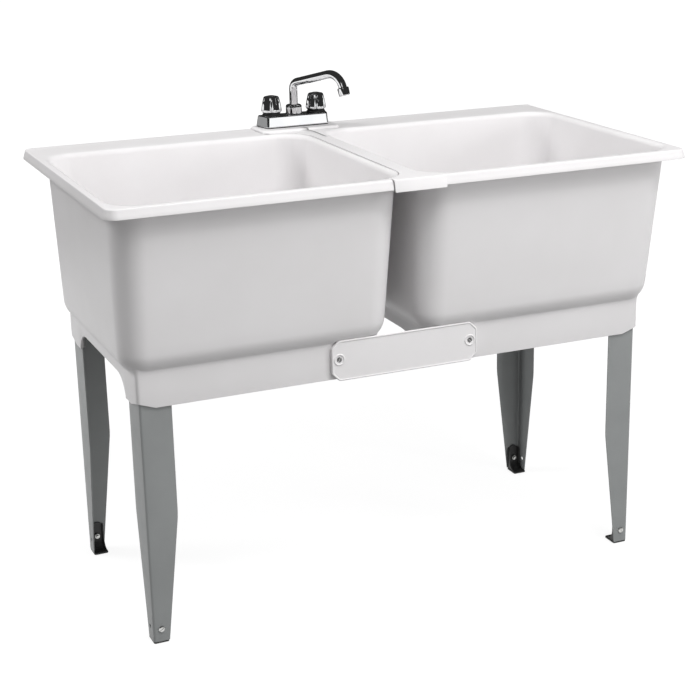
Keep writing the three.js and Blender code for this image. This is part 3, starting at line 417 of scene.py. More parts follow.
def white_plastic(name, line=None, shade=0.0, depth=0.0):
    """Moulded white plastic. line draws painted shade on it over a relief, the shade so dark and the relief
    so deep in metres.
    """
    look = Look(name)
    color = look.ramp(look.noise(6, 5), (0.812, 0.797, 0.8), (0.85, 0.836, 0.842))
    look.link(look.spread(look.noise(35, 4), 0.34, 0.46), "Roughness")
    relief = look.bump(look.noise(900, 3), 0.06, 0.0004)
    relief = look.bump(look.noise(70, 3), 0.05, 0.0008, relief)
    if line:
        amount = line(look)
        relief = look.bump(look.product(amount, -1), 1.0, depth, relief)
        # Painted shade: the colour turns towards SHADE_COLOR as far as line and shade say.
        inputs = {"A": color, "B": (*SHADE_COLOR, 1), "Factor": look.product(amount, shade)}
        color = look.add("Mix", inputs, "Result", data_type="RGBA")
    look.link(color, "Base Color")
    look.link(relief, "Normal")
    look.shader.inputs["IOR"].default_value = 1.49
    look.shader.inputs["Specular IOR Level"].default_value = 0.4
    return look.material


def finish(name, color, roughness, relief, metallic=0.0):
    """Material whose colour, roughness and relief each vary with a noise.

    Each is the noise's scale and detail, then two colours, two roughnesses, or the relief's strength
    and height in metres.
    """
    look = Look(name)
    look.link(look.ramp(look.noise(*color[:2]), *color[2:]), "Base Color")
    look.link(look.spread(look.noise(*roughness[:2]), *roughness[2:]), "Roughness")
    look.link(look.bump(look.noise(*relief[:2]), *relief[2:]), "Normal")
    look.shader.inputs["Metallic"].default_value = metallic
    return look.material


def grey_enamel():
    color = (9, 5, (0.264, 0.274, 0.274), (0.3, 0.311, 0.311))
    return finish("grey_leg_enamel", color, (60, 5, 0.34, 0.5), (420, 4, 0.12, 0.0005))


def black_plastic():
    color = (40, 4, grey(0.012), grey(0.022))
    return finish("black_moulded_plastic", color, (120, 4, 0.36, 0.52), (1500, 3, 0.15, 0.0003))


def dark_rubber():
    color = (60, 4, grey(0.018), grey(0.03))
    return finish("dark_rubber", color, (200, 4, 0.6, 0.8), (900, 4, 0.2, 0.0003))


def zinc():
    color = (160, 5, (0.52, 0.52, 0.5), (0.66, 0.66, 0.65))
    return finish("zinc_plated_steel", color, (300, 5, 0.2, 0.38), (800, 3, 0.08, 0.0002), 1.0)


# Painted shade: a darker copy of the zinc steel that darkens the joiner screws in the plate's bosses.
def zinc_with_painted_shade():
    color = (160, 5, grey(0.13), grey(0.2))
    return finish("zinc_screw_steel_painted_shade", color, (300, 5, 0.25, 0.4), (800, 3, 0.08, 0.0002), 1.0)


def chrome():
    color = (25, 4, (0.80, 0.81, 0.82), (0.86, 0.865, 0.87))
    return finish("polished_chrome", color, (90, 5, 0.02, 0.05), (60, 2, 0.015, 0.0004), 1.0)


WHITE = (white_plastic("white_plastic_moulded"), "white_plastic")
# The lapping tub's plastic carries painted shade along the crease in its lap.
LAPPING = (white_plastic("white_plastic_lapping_painted_shade", lap_crease_and_painted_shade, 0.75, 0.0015), "white_plastic")
# The lapped tub's plastic carries painted shade in the groove beside the lap's edge.
LAPPED = (white_plastic("white_plastic_lapped_painted_shade", joint_shade, 0.9, 0.0002), "white_plastic")
ENAMEL = (grey_enamel(), "grey_enamel")
BLACK = (black_plastic(), "black_plastic")
RUBBER = (dark_rubber(), "dark_rubber")
ZINC = (zinc(), "zinc_steel")
ZINC_WITH_PAINTED_SHADE = (zinc_with_painted_shade(), "zinc_steel")
CHROME = (chrome(), "chrome")

# ---------------------------------------------------------------- bowls


def bowl_plan(z, inset):
    drop = RIM_TOP - z
    return (
        BOWL_INNER + drop * END_DRAFT + inset,
        BOWL_OUTER - drop * END_DRAFT - inset,
        -BOWL_FRONT + drop * FRONT_DRAFT + inset,
        BOWL_BACK - drop * BACK_DRAFT - inset,
    )


def bowl_radius(z, inset):
    share = min((RIM_TOP - z) / (RIM_TOP - WALL_FOOT), 1)
    return max(BOWL_TOP_CORNER + (BOWL_FOOT_CORNER - BOWL_TOP_CORNER) * share - inset, 4)


def bowl_ring(z, inset):
    return rounded_ring(*bowl_plan(z, inset), bowl_radius(z, inset), z)


def foot_inset(z):
    """How far the bowl's outer surface has turned in at height z of its floor radius."""
    drop = min(max(WALL_FOOT - z, 0), FLOOR_RADIUS)
    return FLOOR_RADIUS - math.sqrt(FLOOR_RADIUS * FLOOR_RADIUS - drop * drop)


def outside_distance(x, y, z):
    """Distance in plan from the bowl's outer surface at height z; negative inside."""
    inset = foot_inset(z)
    x0, x1, y0, y1 = bowl_plan(z, inset)
    r = bowl_radius(z, inset)
    qx = abs(x - (x0 + x1) / 2) - (x1 - x0) / 2 + r
    qy = abs(y - (y0 + y1) / 2) - (y1 - y0) / 2 + r
    return math.hypot(max(qx, 0), max(qy, 0)) + min(max(qx, qy), 0) - r


def bowl_height(x, y):
    """Height at which the bowl's outer surface stands over a point of the plan, or None."""
    low, high = FLOOR_UNDER, WALL_FOOT
    if outside_distance(x, y, high) > 0:
        return None
    for _ in range(24):
        middle = (low + high) / 2
        if outside_distance(x, y, middle) > 0:
            low = middle
        else:
            high = middle
    return high


def ring_toward(ring, radius, z):
    """Circle round the drain with a point in the direction of each point of a ring."""
    angles = [math.atan2(y - DRAIN_Y, x - DRAIN_X) for x, y, _ in ring]
    return [(DRAIN_X + radius * math.cos(a), DRAIN_Y + radius * math.sin(a), z) for a in angles]


def foot_rings(inset):
    """Rings of the floor radius, from the floor up to the foot of the wall."""
    radius = FLOOR_RADIUS - inset
    return [bowl_ring(WALL_FOOT - radius * math.sin(a), inset + radius * (1 - math.cos(a)))
            for a in reversed(quarter_turn(10))]


def inside_rings():
    """The wet side of a tub, from the bottom of its outlet up to the rim."""
    foot = foot_rings(WALL)
    floor = foot[0]
    rings = []
    for radius, z in ((20, OUTLET_BOTTOM), (20, 500), (20, 528.6), (20.5, 530), (21.8, 530.5), (40, 530.5),
                      (46, 530.8), (49, 531.5)):
        rings.append(ring_toward(floor, radius, z))
    rings += between(rings[-1], floor, (0.35, 0.7, 0.93))
    rings += foot
    for z in (600, 640, 700, 760, 820, RIM_TOP - 10.5):
        rings.append(bowl_ring(z, WALL))
    edge = 10.0
    for a in quarter_turn(8):
        rings.append(bowl_ring(RIM_TOP - edge * (1 - math.sin(a)), WALL - edge * (1 - math.cos(a))))
    return rings


def outside_rings():
    """The dry side of a bowl, from under the rim down to the end of its outlet."""
    fillet, rim_under = 6.0, RIM_TOP - 5
    rings = [bowl_ring(rim_under - fillet * (1 - math.cos(a)), -fillet * (1 - math.sin(a)))
             for a in quarter_turn(5)]
    rings += [bowl_ring(z, 0) for z in (830, 760, 700, 640, 600)]
    foot = foot_rings(0)
    rings += reversed(foot)
    for radius, z in ((52, 526.2), (40, 526), (27, 526), (25.6, 525.4), (25, 524), (25, 490),
                      (25, OUTLET_BOTTOM)):
        rings.append(ring_toward(foot[0], radius, z))
    return rings


# ---------------------------------------------------------------- rims


def with_inner_edge(ring, front, back):
    """Puts other points in place of a ring's two corners beside the joint and joins them up.

    Returns the ring and the numbers of its points that border the joint.
    """
    out = list(ring)
    for start, points in ((0, front), (BACK_CORNER, back)):
        for i, (x, y) in enumerate(points):
            out[start + i] = (x, y, 0)
    for i in range(1, RING_SPANS):
        t = i / RING_SPANS
        after = BACK_CORNER + RING_STEPS
        out[after + i] = mix(out[after], out[0], t)
        out[RING_STEPS + i] = mix(out[RING_STEPS], ring[RING_STEPS + RING_SPANS], t)
        out[BACK_CORNER - RING_SPANS + i] = mix(ring[BACK_CORNER - RING_SPANS], out[BACK_CORNER], t)
    return out, set(range(0, RING_STEPS)) | set(range(BACK_CORNER + 1, len(ring)))


def rim_ring(inset):
    r = RIM_CORNER - inset
    return rounded_ring(RIM_JOINT_X, RIM_HALF_LENGTH - inset, -RIM_HALF_DEPTH + inset, RIM_HALF_DEPTH - inset,
                        (0.6, r, r, 0.6), 0)


def right_rim_outline(inset, grow):
    """Plan of the right rim. Beside the joint its edge is the lap's, moved in by grow."""
    edge = RIM_HALF_DEPTH - inset
    radius = LAP_RADIUS + grow
    stop = math.degrees(math.acos((grow - LAP_HALF_HOOK - LAP_CENTRE) / radius))
    front = arc(LAP_CENTRE, LAP_FRONT_ARC, radius, 0, -stop, RING_STEPS - 4)
    front += [(grow - LAP_HALF_HOOK, -LAP_EDGE), (9, -LAP_EDGE), (9.5, -LAP_EDGE), (10, -edge)]
    back = [(10, edge), (9.5, LAP_EDGE), (9, LAP_EDGE), (grow + DECK_LEFT, LAP_EDGE)]
    back += [(grow + DECK_LEFT, LAP_BACK_ARC + radius)]
    back += arc(LAP_CENTRE, LAP_BACK_ARC, radius, 90, 0, RING_STEPS - 5)
    return with_inner_edge(rim_ring(inset), front, back)


def left_rim_outline(inset, grow):
    """Plan of the left rim, drawn as if it were on the right. Its inner edge follows the lap."""
    edge = RIM_HALF_DEPTH - inset
    gap = LAP_STEP + grow
    radius, centre = LAP_RADIUS - gap, -LAP_CENTRE
    front_end, back_end = LAP_HALF_HOOK + gap, gap - DECK_LEFT
    stop = math.degrees(math.acos((centre - front_end) / radius))
    front = arc(centre, LAP_FRONT_ARC, radius, 180, 180 + stop, RING_STEPS - 3)
    front += [(front_end, 6 - edge), (front_end, 1 - edge), (front_end, -edge)]
    back = [(back_end, edge), (back_end, edge - 1), (back_end, edge - 6), (back_end, LAP_BACK_ARC + radius)]
    back += arc(centre, LAP_BACK_ARC, radius, 90, 180, RING_STEPS - 4)
    return with_inner_edge(rim_ring(inset), front, back)


RAISE_START_X, RAISE_LENGTH, RAISE_START_Z, RAISE_HEIGHT = 120, 90, 840, 15
ROLL_START_Y, ROLL_WIDTH, ROLL_START_Z, ROLL_HEIGHT = 300, 14, 861, 1.3


def raised(x, z):
    """Lift of the right tub's rim towards its lap."""
    inward = max(0.0, min(1.0, (RAISE_START_X - x) / RAISE_LENGTH))
    share = inward * max(0.0, min(1.0, (z - RAISE_START_Z) / RAISE_HEIGHT))
    return (LAP_TOP - RIM_TOP) * share * share * (3 - 2 * share)


def rolled(y, z):
    """Lift of the narrow roll along the back edge of a rim."""
    if z < ROLL_START_Z or y < ROLL_START_Y:
        return 0.0
    return ROLL_HEIGHT * math.sin(math.pi * min((y - ROLL_START_Y) / ROLL_WIDTH, 1)) ** 2


RIM_EDGE, JOINT_EDGE = 3.0, 1.2
APRON_LEVELS = (
    # height, inset, and the height and set-back where the edge borders the joint
    (852, 1.7, 860.5, 0.0), (846, 0.3, 859.4, 0.0), (845.2, 0.4, 858.6, 0.2), (845, 1.0, 858.3, 0.6),
    (845, 3.2, 858.3, 2.0), (845.4, 3.8, 858.3, 2.4), (846.5, 4.4, 858.3, 3.0), (856.0, 7.2, 858.3, 4.0),
    (857.6, 8.2, 858.3, 5.0), (858, 10.5, 858.3, 6.0),
)
FLAT_SHARES = (0.12, 0.3, 0.5, 0.6, 0.68, 0.76, 0.84, 0.92, 0.97)


def rim_rings(outline_at, joint_drop):
    """Rings from the flat of the rim over its edge, down the apron and back along the underside."""
    levels = []
    for a in quarter_turn(5):
        inward, down = 1 - math.sin(a), 1 - math.cos(a)
        levels.append((RIM_TOP - RIM_EDGE * down, APRON_FLARE + RIM_EDGE * inward,
                       RIM_TOP - JOINT_EDGE * down, JOINT_EDGE * inward))
    levels += [(z, inset, joint_z - joint_drop, grow) for z, inset, joint_z, grow in APRON_LEVELS]
    rings = []
    for z, inset, joint_z, grow in levels:
        outline, joint = outline_at(inset, grow)
        rings.append([(x, y, joint_z if i in joint else z) for i, (x, y, _) in enumerate(outline)])
    return rings


def between(inner, outer, shares):
    """Rings between two others."""
    return [[mix(p, q, t) for p, q in zip(inner, outer)] for t in shares]


def lead_round_notch(flat, inner, outer):
    """Takes the flat of the left rim round the notch that the deck fills, without a fold."""
    bend = FLAT_SHARES[1]
    for k in range(3):
        margin = 4.2 - k
        i = BACK_CORNER + k
        turn = (LAP_STEP - DECK_LEFT + margin, LAP_BACK_ARC + LAP_RADIUS - LAP_STEP - margin, RIM_TOP)
        for ring, share in zip(flat, FLAT_SHARES):
            if share < bend:
                ring[i] = mix(inner[i], turn, share / bend)
            else:
                ring[i] = mix(turn, outer[i], (share - bend) / (1 - bend))


def tub_shell(outline_at, lapping):
    """Bowl, rim and apron of one tub as a single skin, drawn on the right."""
    inside, outside = inside_rings(), outside_rings()
    rim = rim_rings(outline_at, 0 if lapping else 0.3)
    flat = between(inside[-1], rim[0], FLAT_SHARES)
    if not lapping:
        lead_round_notch(flat, inside[-1], rim[0])
    rings = inside + flat + rim + between(rim[-1], outside[0], (0.5,)) + outside
    shell = Shell().skin(rings, looped=True)
    return shell.placed(lambda x, y, z: (x, y, z + (raised(x, z) if lapping else 0) + rolled(y, z)))


# ---------------------------------------------------------------- skirts and laps

SKIRT_CORNER, SKIRT_PITCH, SKIRT_END_PITCH = 7.0, 7.0, 5.0
CORNER_LIFT, CORNER_REACH_X, CORNER_REACH_Y = 12, 34, 43
ARCH_EASE, SOCKET_RIB, SOCKET_BOTTOM, SOCKET_TOP = 12, 3, 476, 535.5


def skirt_perimeter():
    """Points round the skirt with outward normals: (x, y, nx, ny)."""
    r = SKIRT_CORNER
    x0, x1, y0, y1 = SKIRT_INNER, SKIRT_OUTER, -SKIRT_FRONT, SKIRT_FRONT
    points = []

    def run(ax, ay, bx, by, nx, ny, pitch=SKIRT_PITCH, extra=()):
        count = max(2, round(math.hypot(bx - ax, by - ay) / pitch))
        for t in sorted({i / count for i in range(count)} | set(extra)):
            points.append((*mix((ax, ay), (bx, by), t), nx, ny))

    def corner(cx, cy, start):
        for i in range(7):
            a = math.radians(start + 90 * i / 6)
            points.append((cx + r * math.cos(a), cy + r * math.sin(a), math.cos(a), math.sin(a)))

    arch_ends = [y for foot in (ARCH_FOOT - 0.2, ARCH_FOOT + 0.2) for y in (-foot, foot)]
    marks = [(y - (y0 + r)) / (y1 - y0 - 2 * r) for y in arch_ends]
    run(x0 + r, y0, x1 - r, y0, 0, -1)
    corner(x1 - r, y0 + r, -90)
    run(x1, y0 + r, x1, y1 - r, 1, 0, SKIRT_END_PITCH, marks)
    corner(x1 - r, y1 - r, 0)
    run(x1 - r, y1, x0 + r, y1, 0, 1)
    corner(x0 + r, y1 - r, 90)
    run(x0, y1 - r, x0, y0 + r, -1, 0, SKIRT_END_PITCH, [1 - m for m in marks])
    corner(x0 + r, y0 + r, 180)
    return points


def arch_height(y):
    """Bottom edge of an end apron: a flat arch with rounded shoulders."""
    y = abs(y)
    if y >= ARCH_FOOT:
        return SKIRT_BOTTOM
    if y <= ARCH_SHOULDER:
        return ARCH_TOP
    bend = ARCH_FOOT - ARCH_EASE
    a, b, c = ARCH_FOOT - 2 * bend + ARCH_SHOULDER, 2 * bend - 2 * ARCH_FOOT, ARCH_FOOT - y
    t = (-b - math.sqrt(max(b * b - 4 * a * c, 0))) / (2 * a)
    return (1 - t) ** 2 * (SKIRT_BOTTOM + 3) + 2 * t * (1 - t) * ARCH_TOP + t * t * ARCH_TOP


def skirt_bottom(x, y, on_end):
    dx = min(abs(x - SKIRT_OUTER), abs(x - SKIRT_INNER))
    dy = SKIRT_FRONT - abs(y)
    bottom = SKIRT_BOTTOM + CORNER_LIFT * max(0.0, 1 - dx / CORNER_REACH_X - dy / CORNER_REACH_Y)
    return max(bottom, arch_height(y)) if on_end else bottom


def skirt_top(x, y, nx, ny):
    """Upper part of the skirt's section: (distance outwards, height)."""
    crease = bowl_height(x, y)
    if crease is None or (crease >= SKIRT_SHELF - 1 and y >= 150):
        return [(0, SKIRT_SHELF - 3), (-0.25, SKIRT_SHELF - 1.7), (-0.9, SKIRT_SHELF - 0.8),
                (-1.8, SKIRT_SHELF - 0.15), (-3, SKIRT_SHELF), (-SKIRT_WALL, SKIRT_SHELF)]
    spread = 2.2 + 6.5 * nx * nx
    outer = bowl_height(x + nx * spread, y + ny * spread)
    outer = (outer if outer is not None else crease) + 0.6
    inner = bowl_height(x - nx * SKIRT_WALL, y - ny * SKIRT_WALL) + 1.6
    return [
        (0, crease - spread * 1.3), (spread * 0.1, crease - spread * 0.55),
        (spread * 0.42, crease + (outer - crease) * 0.35), (spread * 0.78, crease + (outer - crease) * 0.8),
        (spread, outer), (-SKIRT_WALL, inner),
    ]


def shelf_section(px, py):
    """Section of the shelf between a point of the skirt and the bowl."""
    inset = foot_inset(SKIRT_SHELF) + 2.2
    x0, x1, y0, y1 = bowl_plan(SKIRT_SHELF, inset)
    r = bowl_radius(SKIRT_SHELF, inset)
    cx, cy = min(max(px, x0 + r), x1 - r), min(max(py, y0 + r), y1 - r)
    qx, qy = mix((cx, cy), (px, py), r / math.hypot(px - cx, py - cy))
    under = SKIRT_SHELF - SKIRT_WALL
    return [(px, py, SKIRT_SHELF), (qx, qy, SKIRT_SHELF), (qx, qy, under), (px, py, under)]


def skirt_shell():
    """Skirt wall with its arches and slanted corners, meeting the bowl in a soft crease."""
    rings, shelf = [], []
    for x, y, nx, ny in skirt_perimeter():
        bottom = skirt_bottom(x, y, abs(nx) > 0.99)
        section = [(-SKIRT_WALL, bottom + 0.8), (0.8 - SKIRT_WALL, bottom), (-0.9, bottom),
                   (-0.2, bottom + 0.25), (0, bottom + 1)]
        section += skirt_top(x, y, nx, ny)
        rings.append([(x + nx * out, y + ny * out, z) for out, z in section])
        px, py = x - nx * 3.5, y - ny * 3.5
        if y > 100 and outside_distance(px, py, SKIRT_SHELF) + 2.2 > 0.05:
            shelf.append(shelf_section(px, py))
    return Shell().skin(rings, looped=True).join(Shell().skin(shelf))


def socket_ribs():
    """Ribs that make the four leg pockets, seen from below."""
    shell = Shell()
    inset, steel = SKIRT_WALL + PIECE_GAP, LEG_STEEL + PIECE_GAP
    wide, deep = (width + PIECE_GAP for width in LEG_WIDTHS)
    for end_x, out in ((SKIRT_OUTER, -1), (SKIRT_INNER, 1)):
        for end_y, into in ((-SKIRT_FRONT, 1), (SKIRT_FRONT, -1)):
            rib_x, rib_y = out * SOCKET_RIB, into * SOCKET_RIB
            cx, cy = end_x + out * inset, end_y + into * inset
            far_x, far_y = cx + out * wide, cy + into * deep
            back_x, back_y = cx + out * steel, cy + into * steel
            for xs, ys in (
                ((cx + out * LEG_BEND, far_x + rib_x), (back_y, back_y + rib_y)),
                ((far_x, far_x + rib_x), (end_y + into, back_y + rib_y)),
                ((back_x, back_x + rib_x), (cy + into * LEG_BEND, far_y + rib_y)),
                ((end_x + out, back_x + rib_x), (far_y, far_y + rib_y)),
            ):
                shell.join(box_shell(*sorted(xs), *sorted(ys), SOCKET_BOTTOM, SOCKET_TOP, 0.5))
    return shell


def ledger_shell():
    """The left tub's flange under the lap: a lower strip that ends past the joint."""
    rings = []
    for z, grow in ((853.6, 6.0), (853.7, 5.0), (857.4, 4.8), (857.9, 5.0), (858, 5.6)):
        outline, _ = left_rim_outline(0, grow - LAP_STEP)
        strip = outline[BACK_CORNER:] + outline[: RING_STEPS + 1]
        ring = [(-x, max(-LAP_EDGE, min(LAP_EDGE, y)), z) for x, y, _ in strip]
        rings.append(ring + [(6, -LAP_EDGE, z), (6, LAP_EDGE, z)])
    return Shell().skin(rings)


def hook_shell(side_y, x0, x1):
    """Lap bent down over the front or back apron."""
    profile = round_corners([(310, 858.6), (310, 863.99), (321.8, 863.99), (327.9, 841), (324.4, 841),
                             (319.4, 858.6), (310, 858.6)], 2.6, 5)
    middle, eased = (321, 853), 1 - 0.7 / 9
    rings = []
    for x, share in ((x0, eased), (x0 + 0.7, 1), (x1 - 0.7, 1), (x1, eased)):
        section = [mix(middle, point, share) for point in profile[:-1]]
        rings.append([(x, side_y * depth, z) for depth, z in section])
    return Shell().skin(rings)


def deck_shell():
    """Raised pad under the faucet, with soft chamfers."""
    rings = []
    levels = ((858.6, 0), (863.4, 0), (863.9, 0.2), (866.4, 2.2), (867.4, 3.3), (867.9, 4.6), (DECK_TOP, 6))
    for z, inset in levels:
        sides = (DECK_LEFT + inset, DECK_RIGHT - inset, DECK_FRONT + inset, DECK_BACK - inset * 0.6)
        rings.append(rounded_ring(*sides, (14 - inset, 14 - inset, 4, 4), z, steps=8, spans=8))
    return Shell().skin(rings)


def build_tubs():
    skirt = skirt_shell().join(socket_ribs())
    left = tub_shell(left_rim_outline, False).join(skirt).mirrored(-1)
    left.join(ledger_shell())
    right = tub_shell(right_rim_outline, True).join(skirt)
    right.join(hook_shell(-1, -LAP_HALF_HOOK, LAP_HALF_HOOK))
    right.join(hook_shell(1, DECK_LEFT, DECK_RIGHT))
    right.join(deck_shell())
    make_piece("left_tub_moulding", left, LAPPED, "left_tub", 40)
    make_piece("right_tub_moulding", right, LAPPING, "right_tub", 40)


build_tubs()

# ---------------------------------------------------------------- joiner plates, screws and nuts

PLATE_HALF, PLATE_Z0, PLATE_Z1, PLATE_CUT, PLATE_DEPTH = 154.0, 472.0, 552.0, 15.0, 9.0
PLATE_SCREW_SEAT, SCREW_X, SCREW_Z = 4.0, 138.5, 514.5
SCREW_HEAD, SCREW_HEAD_HEIGHT, SCREW_PITCH, SCREW_THREAD = 6.0, 3.2, 1.6, 0.35
# Screws are a length and radius, slots three half sizes, and nuts a width over flats, height and hole.
JOINER_SCREW, JOINER_SLOT, JOINER_NUT = (16.4, 2.7), (0.55, 1.3, 7), (10, 4.8, 3.0)
FOOT_SCREW, FOOT_SLOT, FOOT_NUT = (14.4, 2.9), (0.6, 1.3, 7), (10, 4.8, 3.1)
SHANK_NUT = (28.58, 9, 10.9)


def octagon(half_x, z0, z1, cut, ease):
    """Plate outline in X and Z with cut and slightly eased corners."""
    points = [(-half_x, z0 + cut), (-half_x + cut, z0), (half_x - cut, z0), (half_x, z0 + cut),
              (half_x, z1 - cut), (half_x - cut, z1), (-half_x + cut, z1), (-half_x, z1 - cut)]
    corners = zip(points[-1:] + points[:-1], points, points[1:] + points[:1])
    return [point for a, b, c in corners for point in eased_corner(a, b, c, ease, 3)]


def plate_relief(z):
    """How deep the plate may reach at height z before it meets the bowls' curve."""
    if z < FLOOR_UNDER:
        return PLATE_DEPTH
    bowl_y = -BOWL_FRONT + (RIM_TOP - z) * FRONT_DRAFT + foot_inset(z)
    return min(PLATE_DEPTH, max(0.5, bowl_y + SKIRT_FRONT + PLATE_DEPTH - 0.4))


def joiner_plate_shell():
    """Front plate in place: a flat tray with a raised rounded border and two screw bosses."""
    front = -SKIRT_FRONT - PIECE_GAP - PLATE_DEPTH
    profile = ((PLATE_DEPTH, 1.0), (PLATE_DEPTH, 0.3), (PLATE_DEPTH - 0.7, 0), (2.2, 0), (1.1, 0.25),
               (0.35, 0.9), (0.0, 1.9), (0.1, 2.6), (0.5, 3.1), (1.0, 3.35), (1.25, 3.9), (1.25, 4.6))
    rings = []
    for depth, inset in profile:
        outline = octagon(PLATE_HALF - inset, PLATE_Z0 + inset, PLATE_Z1 - inset, PLATE_CUT - inset * 0.58,
                          max(4.0 - inset * 0.5, 1.5))
        rings.append([(x, front + min(depth, plate_relief(z)), z) for x, z in outline])
    shell = Shell().skin(rings)
    boss = [(8.2, 5.0), (8.2, 1.0), (8.6, 0.25), (9.4, -0.15), (10.4, -0.15), (11.2, 0.25), (11.7, 1.0),
            (11.9, 1.6), (11.9, 3.0)]
    for side in (-1, 1):
        ring = Shell().skin(lathe(boss, 40), looped=True).laid()
        shell.join(ring.moved(side * SCREW_X, front, SCREW_Z))
    return shell


def screw_shell(length, radius):
    """Pan-head screw along +Y; the underside of its head is at y = 0."""
    head, top = SCREW_HEAD, -SCREW_HEAD_HEIGHT
    profile = [(0.01, top + 0.15), (head * 0.45, top), (head * 0.78, top + 0.35), (head * 0.95, top + 1.1),
               (head, top + 2.0), (head, -0.25), (head - 0.25, 0), (radius, 0)]
    thread = thread_rings(radius, 0, length, SCREW_PITCH, SCREW_THREAD, 32)
    return Shell().skin(lathe(profile, 32) + thread[1:-1] + [polar_ring(0.6 * radius, length, 32)]).laid()


def cut_slot(piece, centre, half, angle):
    """Sinks a screwdriver slot into a screw's head."""
    hx, hy, hz = half
    block = Shell().skin([[(-hx, -hy, z), (hx, -hy, z), (hx, hy, z), (-hx, hy, z)] for z in (-hz, hz)])
    subtract(piece, block.turned(math.radians(angle), "Y").moved(*centre))


def nut_shell(flat, height, hole, steps=36):
    """Hexagon nut along +Y from y = 0, its corners turned off."""
    def corner_radius(scale):
        return lambda a: min((flat / 2) / math.cos((a + math.pi / 6) % (math.pi / 3) - math.pi / 6),
                             flat / math.sqrt(3) * scale)

    rings = [polar_ring(corner_radius(scale), y, steps)
             for scale, y in ((0.93, 0.0), (1.0, 0.5), (1.0, height - 0.5), (0.93, height))]
    rings += lathe([(hole + 0.5, height), (hole, height - 0.5), (hole, 0.5), (hole + 0.5, 0)], steps)
    return Shell().skin(rings, looped=True).laid()


def build_joiners():
    head_y = SKIRT_FRONT + PIECE_GAP + PLATE_DEPTH - PLATE_SCREW_SEAT + PIECE_GAP
    nut_y = SKIRT_FRONT - SKIRT_WALL - PIECE_GAP
    for name, y_side in (("front", -1), ("rear", 1)):
        plate = joiner_plate_shell().mirrored(1, -y_side)
        make_piece(f"{name}_joiner_plate_moulding", plate, WHITE, f"{name}_joiner_plate", 40)
        for hand, x, slot_angle in (("left", -SCREW_X, 35), ("right", SCREW_X, -50)):
            screw = screw_shell(*JOINER_SCREW).mirrored(1, -y_side).moved(x, y_side * head_y, SCREW_Z)
            piece = make_piece(f"{name}_joiner_pan_screw_{hand}", screw, ZINC_WITH_PAINTED_SHADE,
                               f"{name}_joiner_screw_{hand}", 40)
            cut_slot(piece, (x, y_side * (head_y + SCREW_HEAD_HEIGHT), SCREW_Z), JOINER_SLOT, slot_angle)
            nut = nut_shell(*JOINER_NUT).mirrored(1, -y_side).moved(x, y_side * nut_y, SCREW_Z)
            make_piece(f"{name}_joiner_hex_nut_{hand}", nut, ZINC, f"{name}_joiner_nut_{hand}", 30)


build_joiners()

# ---------------------------------------------------------------- legs and feet

LEG_TOP, LEG_BOTTOM, LEG_TAPER = 533.7, 4.3, 256.0
LEG_HOLE, FOOT_HOLE_X, FOOT_SIDE_HOLE_Y, FOOT_HOLE_Z = 4.2, 16.0, 21.5, 30.0
FOOT_X0, FOOT_WIDTH, FOOT_HEIGHT, FOOT_BACK, FOOT_PLATE_TOP, FOOT_NUT_Y = 4.3, 25.5, 61.0, 2.3, 3.5, 5.6


def leg_section(front, side, z):
    """Angle section with a rounded bend, its outer corner on the Z axis."""
    e = 0.5
    points = arc(LEG_BEND, LEG_BEND, LEG_BEND, 180, 270, 8)
    points += [(front - e, 0), (front, e), (front, LEG_STEEL - e), (front - e, LEG_STEEL)]
    points += arc(LEG_BEND, LEG_BEND, LEG_BEND - LEG_STEEL, 270, 180, 8)
    points += [(LEG_STEEL, side - e), (LEG_STEEL - e, side), (e, side), (0, side - e)]
    return [(x, y, z) for x, y in points]


def leg_shell():
    """Leg that narrows below its taper, with a soft bend in its edges there."""
    rings = []
    for z in (LEG_BOTTOM, LEG_BOTTOM + 0.5, 60, 120, 180, 235, 248, 253, LEG_TAPER, LEG_TAPER + 3, 275, 350,
              440, LEG_TOP - 0.5, LEG_TOP):
        share = min(max((z - LEG_BOTTOM) / (LEG_TAPER - LEG_BOTTOM), 0), 1)
        eased = max(4 - abs(z - LEG_TAPER), 0) * 0.12
        front, side = mix(LEG_FOOT_WIDTHS, LEG_WIDTHS, share)
        rings.append(leg_section(front - eased, side - eased, z))
    return Shell().skin(rings)


def drill(piece, centre, across):
    """Cuts a leg's round hole. The drill stands along Z and is turned about the axis across."""
    drill_bit = Shell().skin(lathe([(LEG_HOLE, -6), (LEG_HOLE, 6)], 32))
    subtract(piece, drill_bit.turned(math.pi / 2, across).moved(*centre))


def foot_strap():
    """Upright of the foot, with a round top."""
    x0, x1 = FOOT_X0, FOOT_X0 + FOOT_WIDTH
    middle, shoulder = (x0 + x1) / 2, FOOT_HEIGHT - FOOT_WIDTH / 2
    outline = [(x0, FOOT_PLATE_TOP), (x1, FOOT_PLATE_TOP)]
    outline += arc(middle, shoulder, FOOT_WIDTH / 2, 0, 180, 16)
    cx, cz = middle, (FOOT_HEIGHT + FOOT_PLATE_TOP) / 2
    rings = []
    for y, e in ((0, 0.4), (0.5, 0), (2.5, 0), (3, 0.4)):
        x_share, z_share = 1 - 2 * e / FOOT_WIDTH, 1 - 2 * e / FOOT_HEIGHT
        rings.append([(cx + (x - cx) * x_share, FOOT_BACK + y, cz + (z - cz) * z_share) for x, z in outline])
    return Shell().skin(rings)


def foot_ribs():
    """The two ribs at the sides of the strap, which flare into the floor plate."""
    bend, straight = (11.2, 26), (11.2, 44.2)
    profile = curve((36.5, FOOT_PLATE_TOP), (12.2, 6.5), bend, 12)
    profile += [mix(bend, straight, i / 12) for i in range(1, 13)]
    profile += curve(straight, (11.2, 56), (2.6, 56), 8)[1:]
    shell = Shell()
    for start in (FOOT_X0, FOOT_X0 + FOOT_WIDTH - 2.5):
        rings = []
        for x, e in ((start, 0.35), (start + 0.35, 0), (start + 2.15, 0), (start + 2.5, 0.35)):
            ring = [(x, FOOT_BACK + 0.5, 55), (x, FOOT_BACK + 0.5, 3.6)]
            rings.append(ring + [(x, y - e, z - e * 0.3) for y, z in profile])
        shell.join(Shell().skin(rings))
    return shell


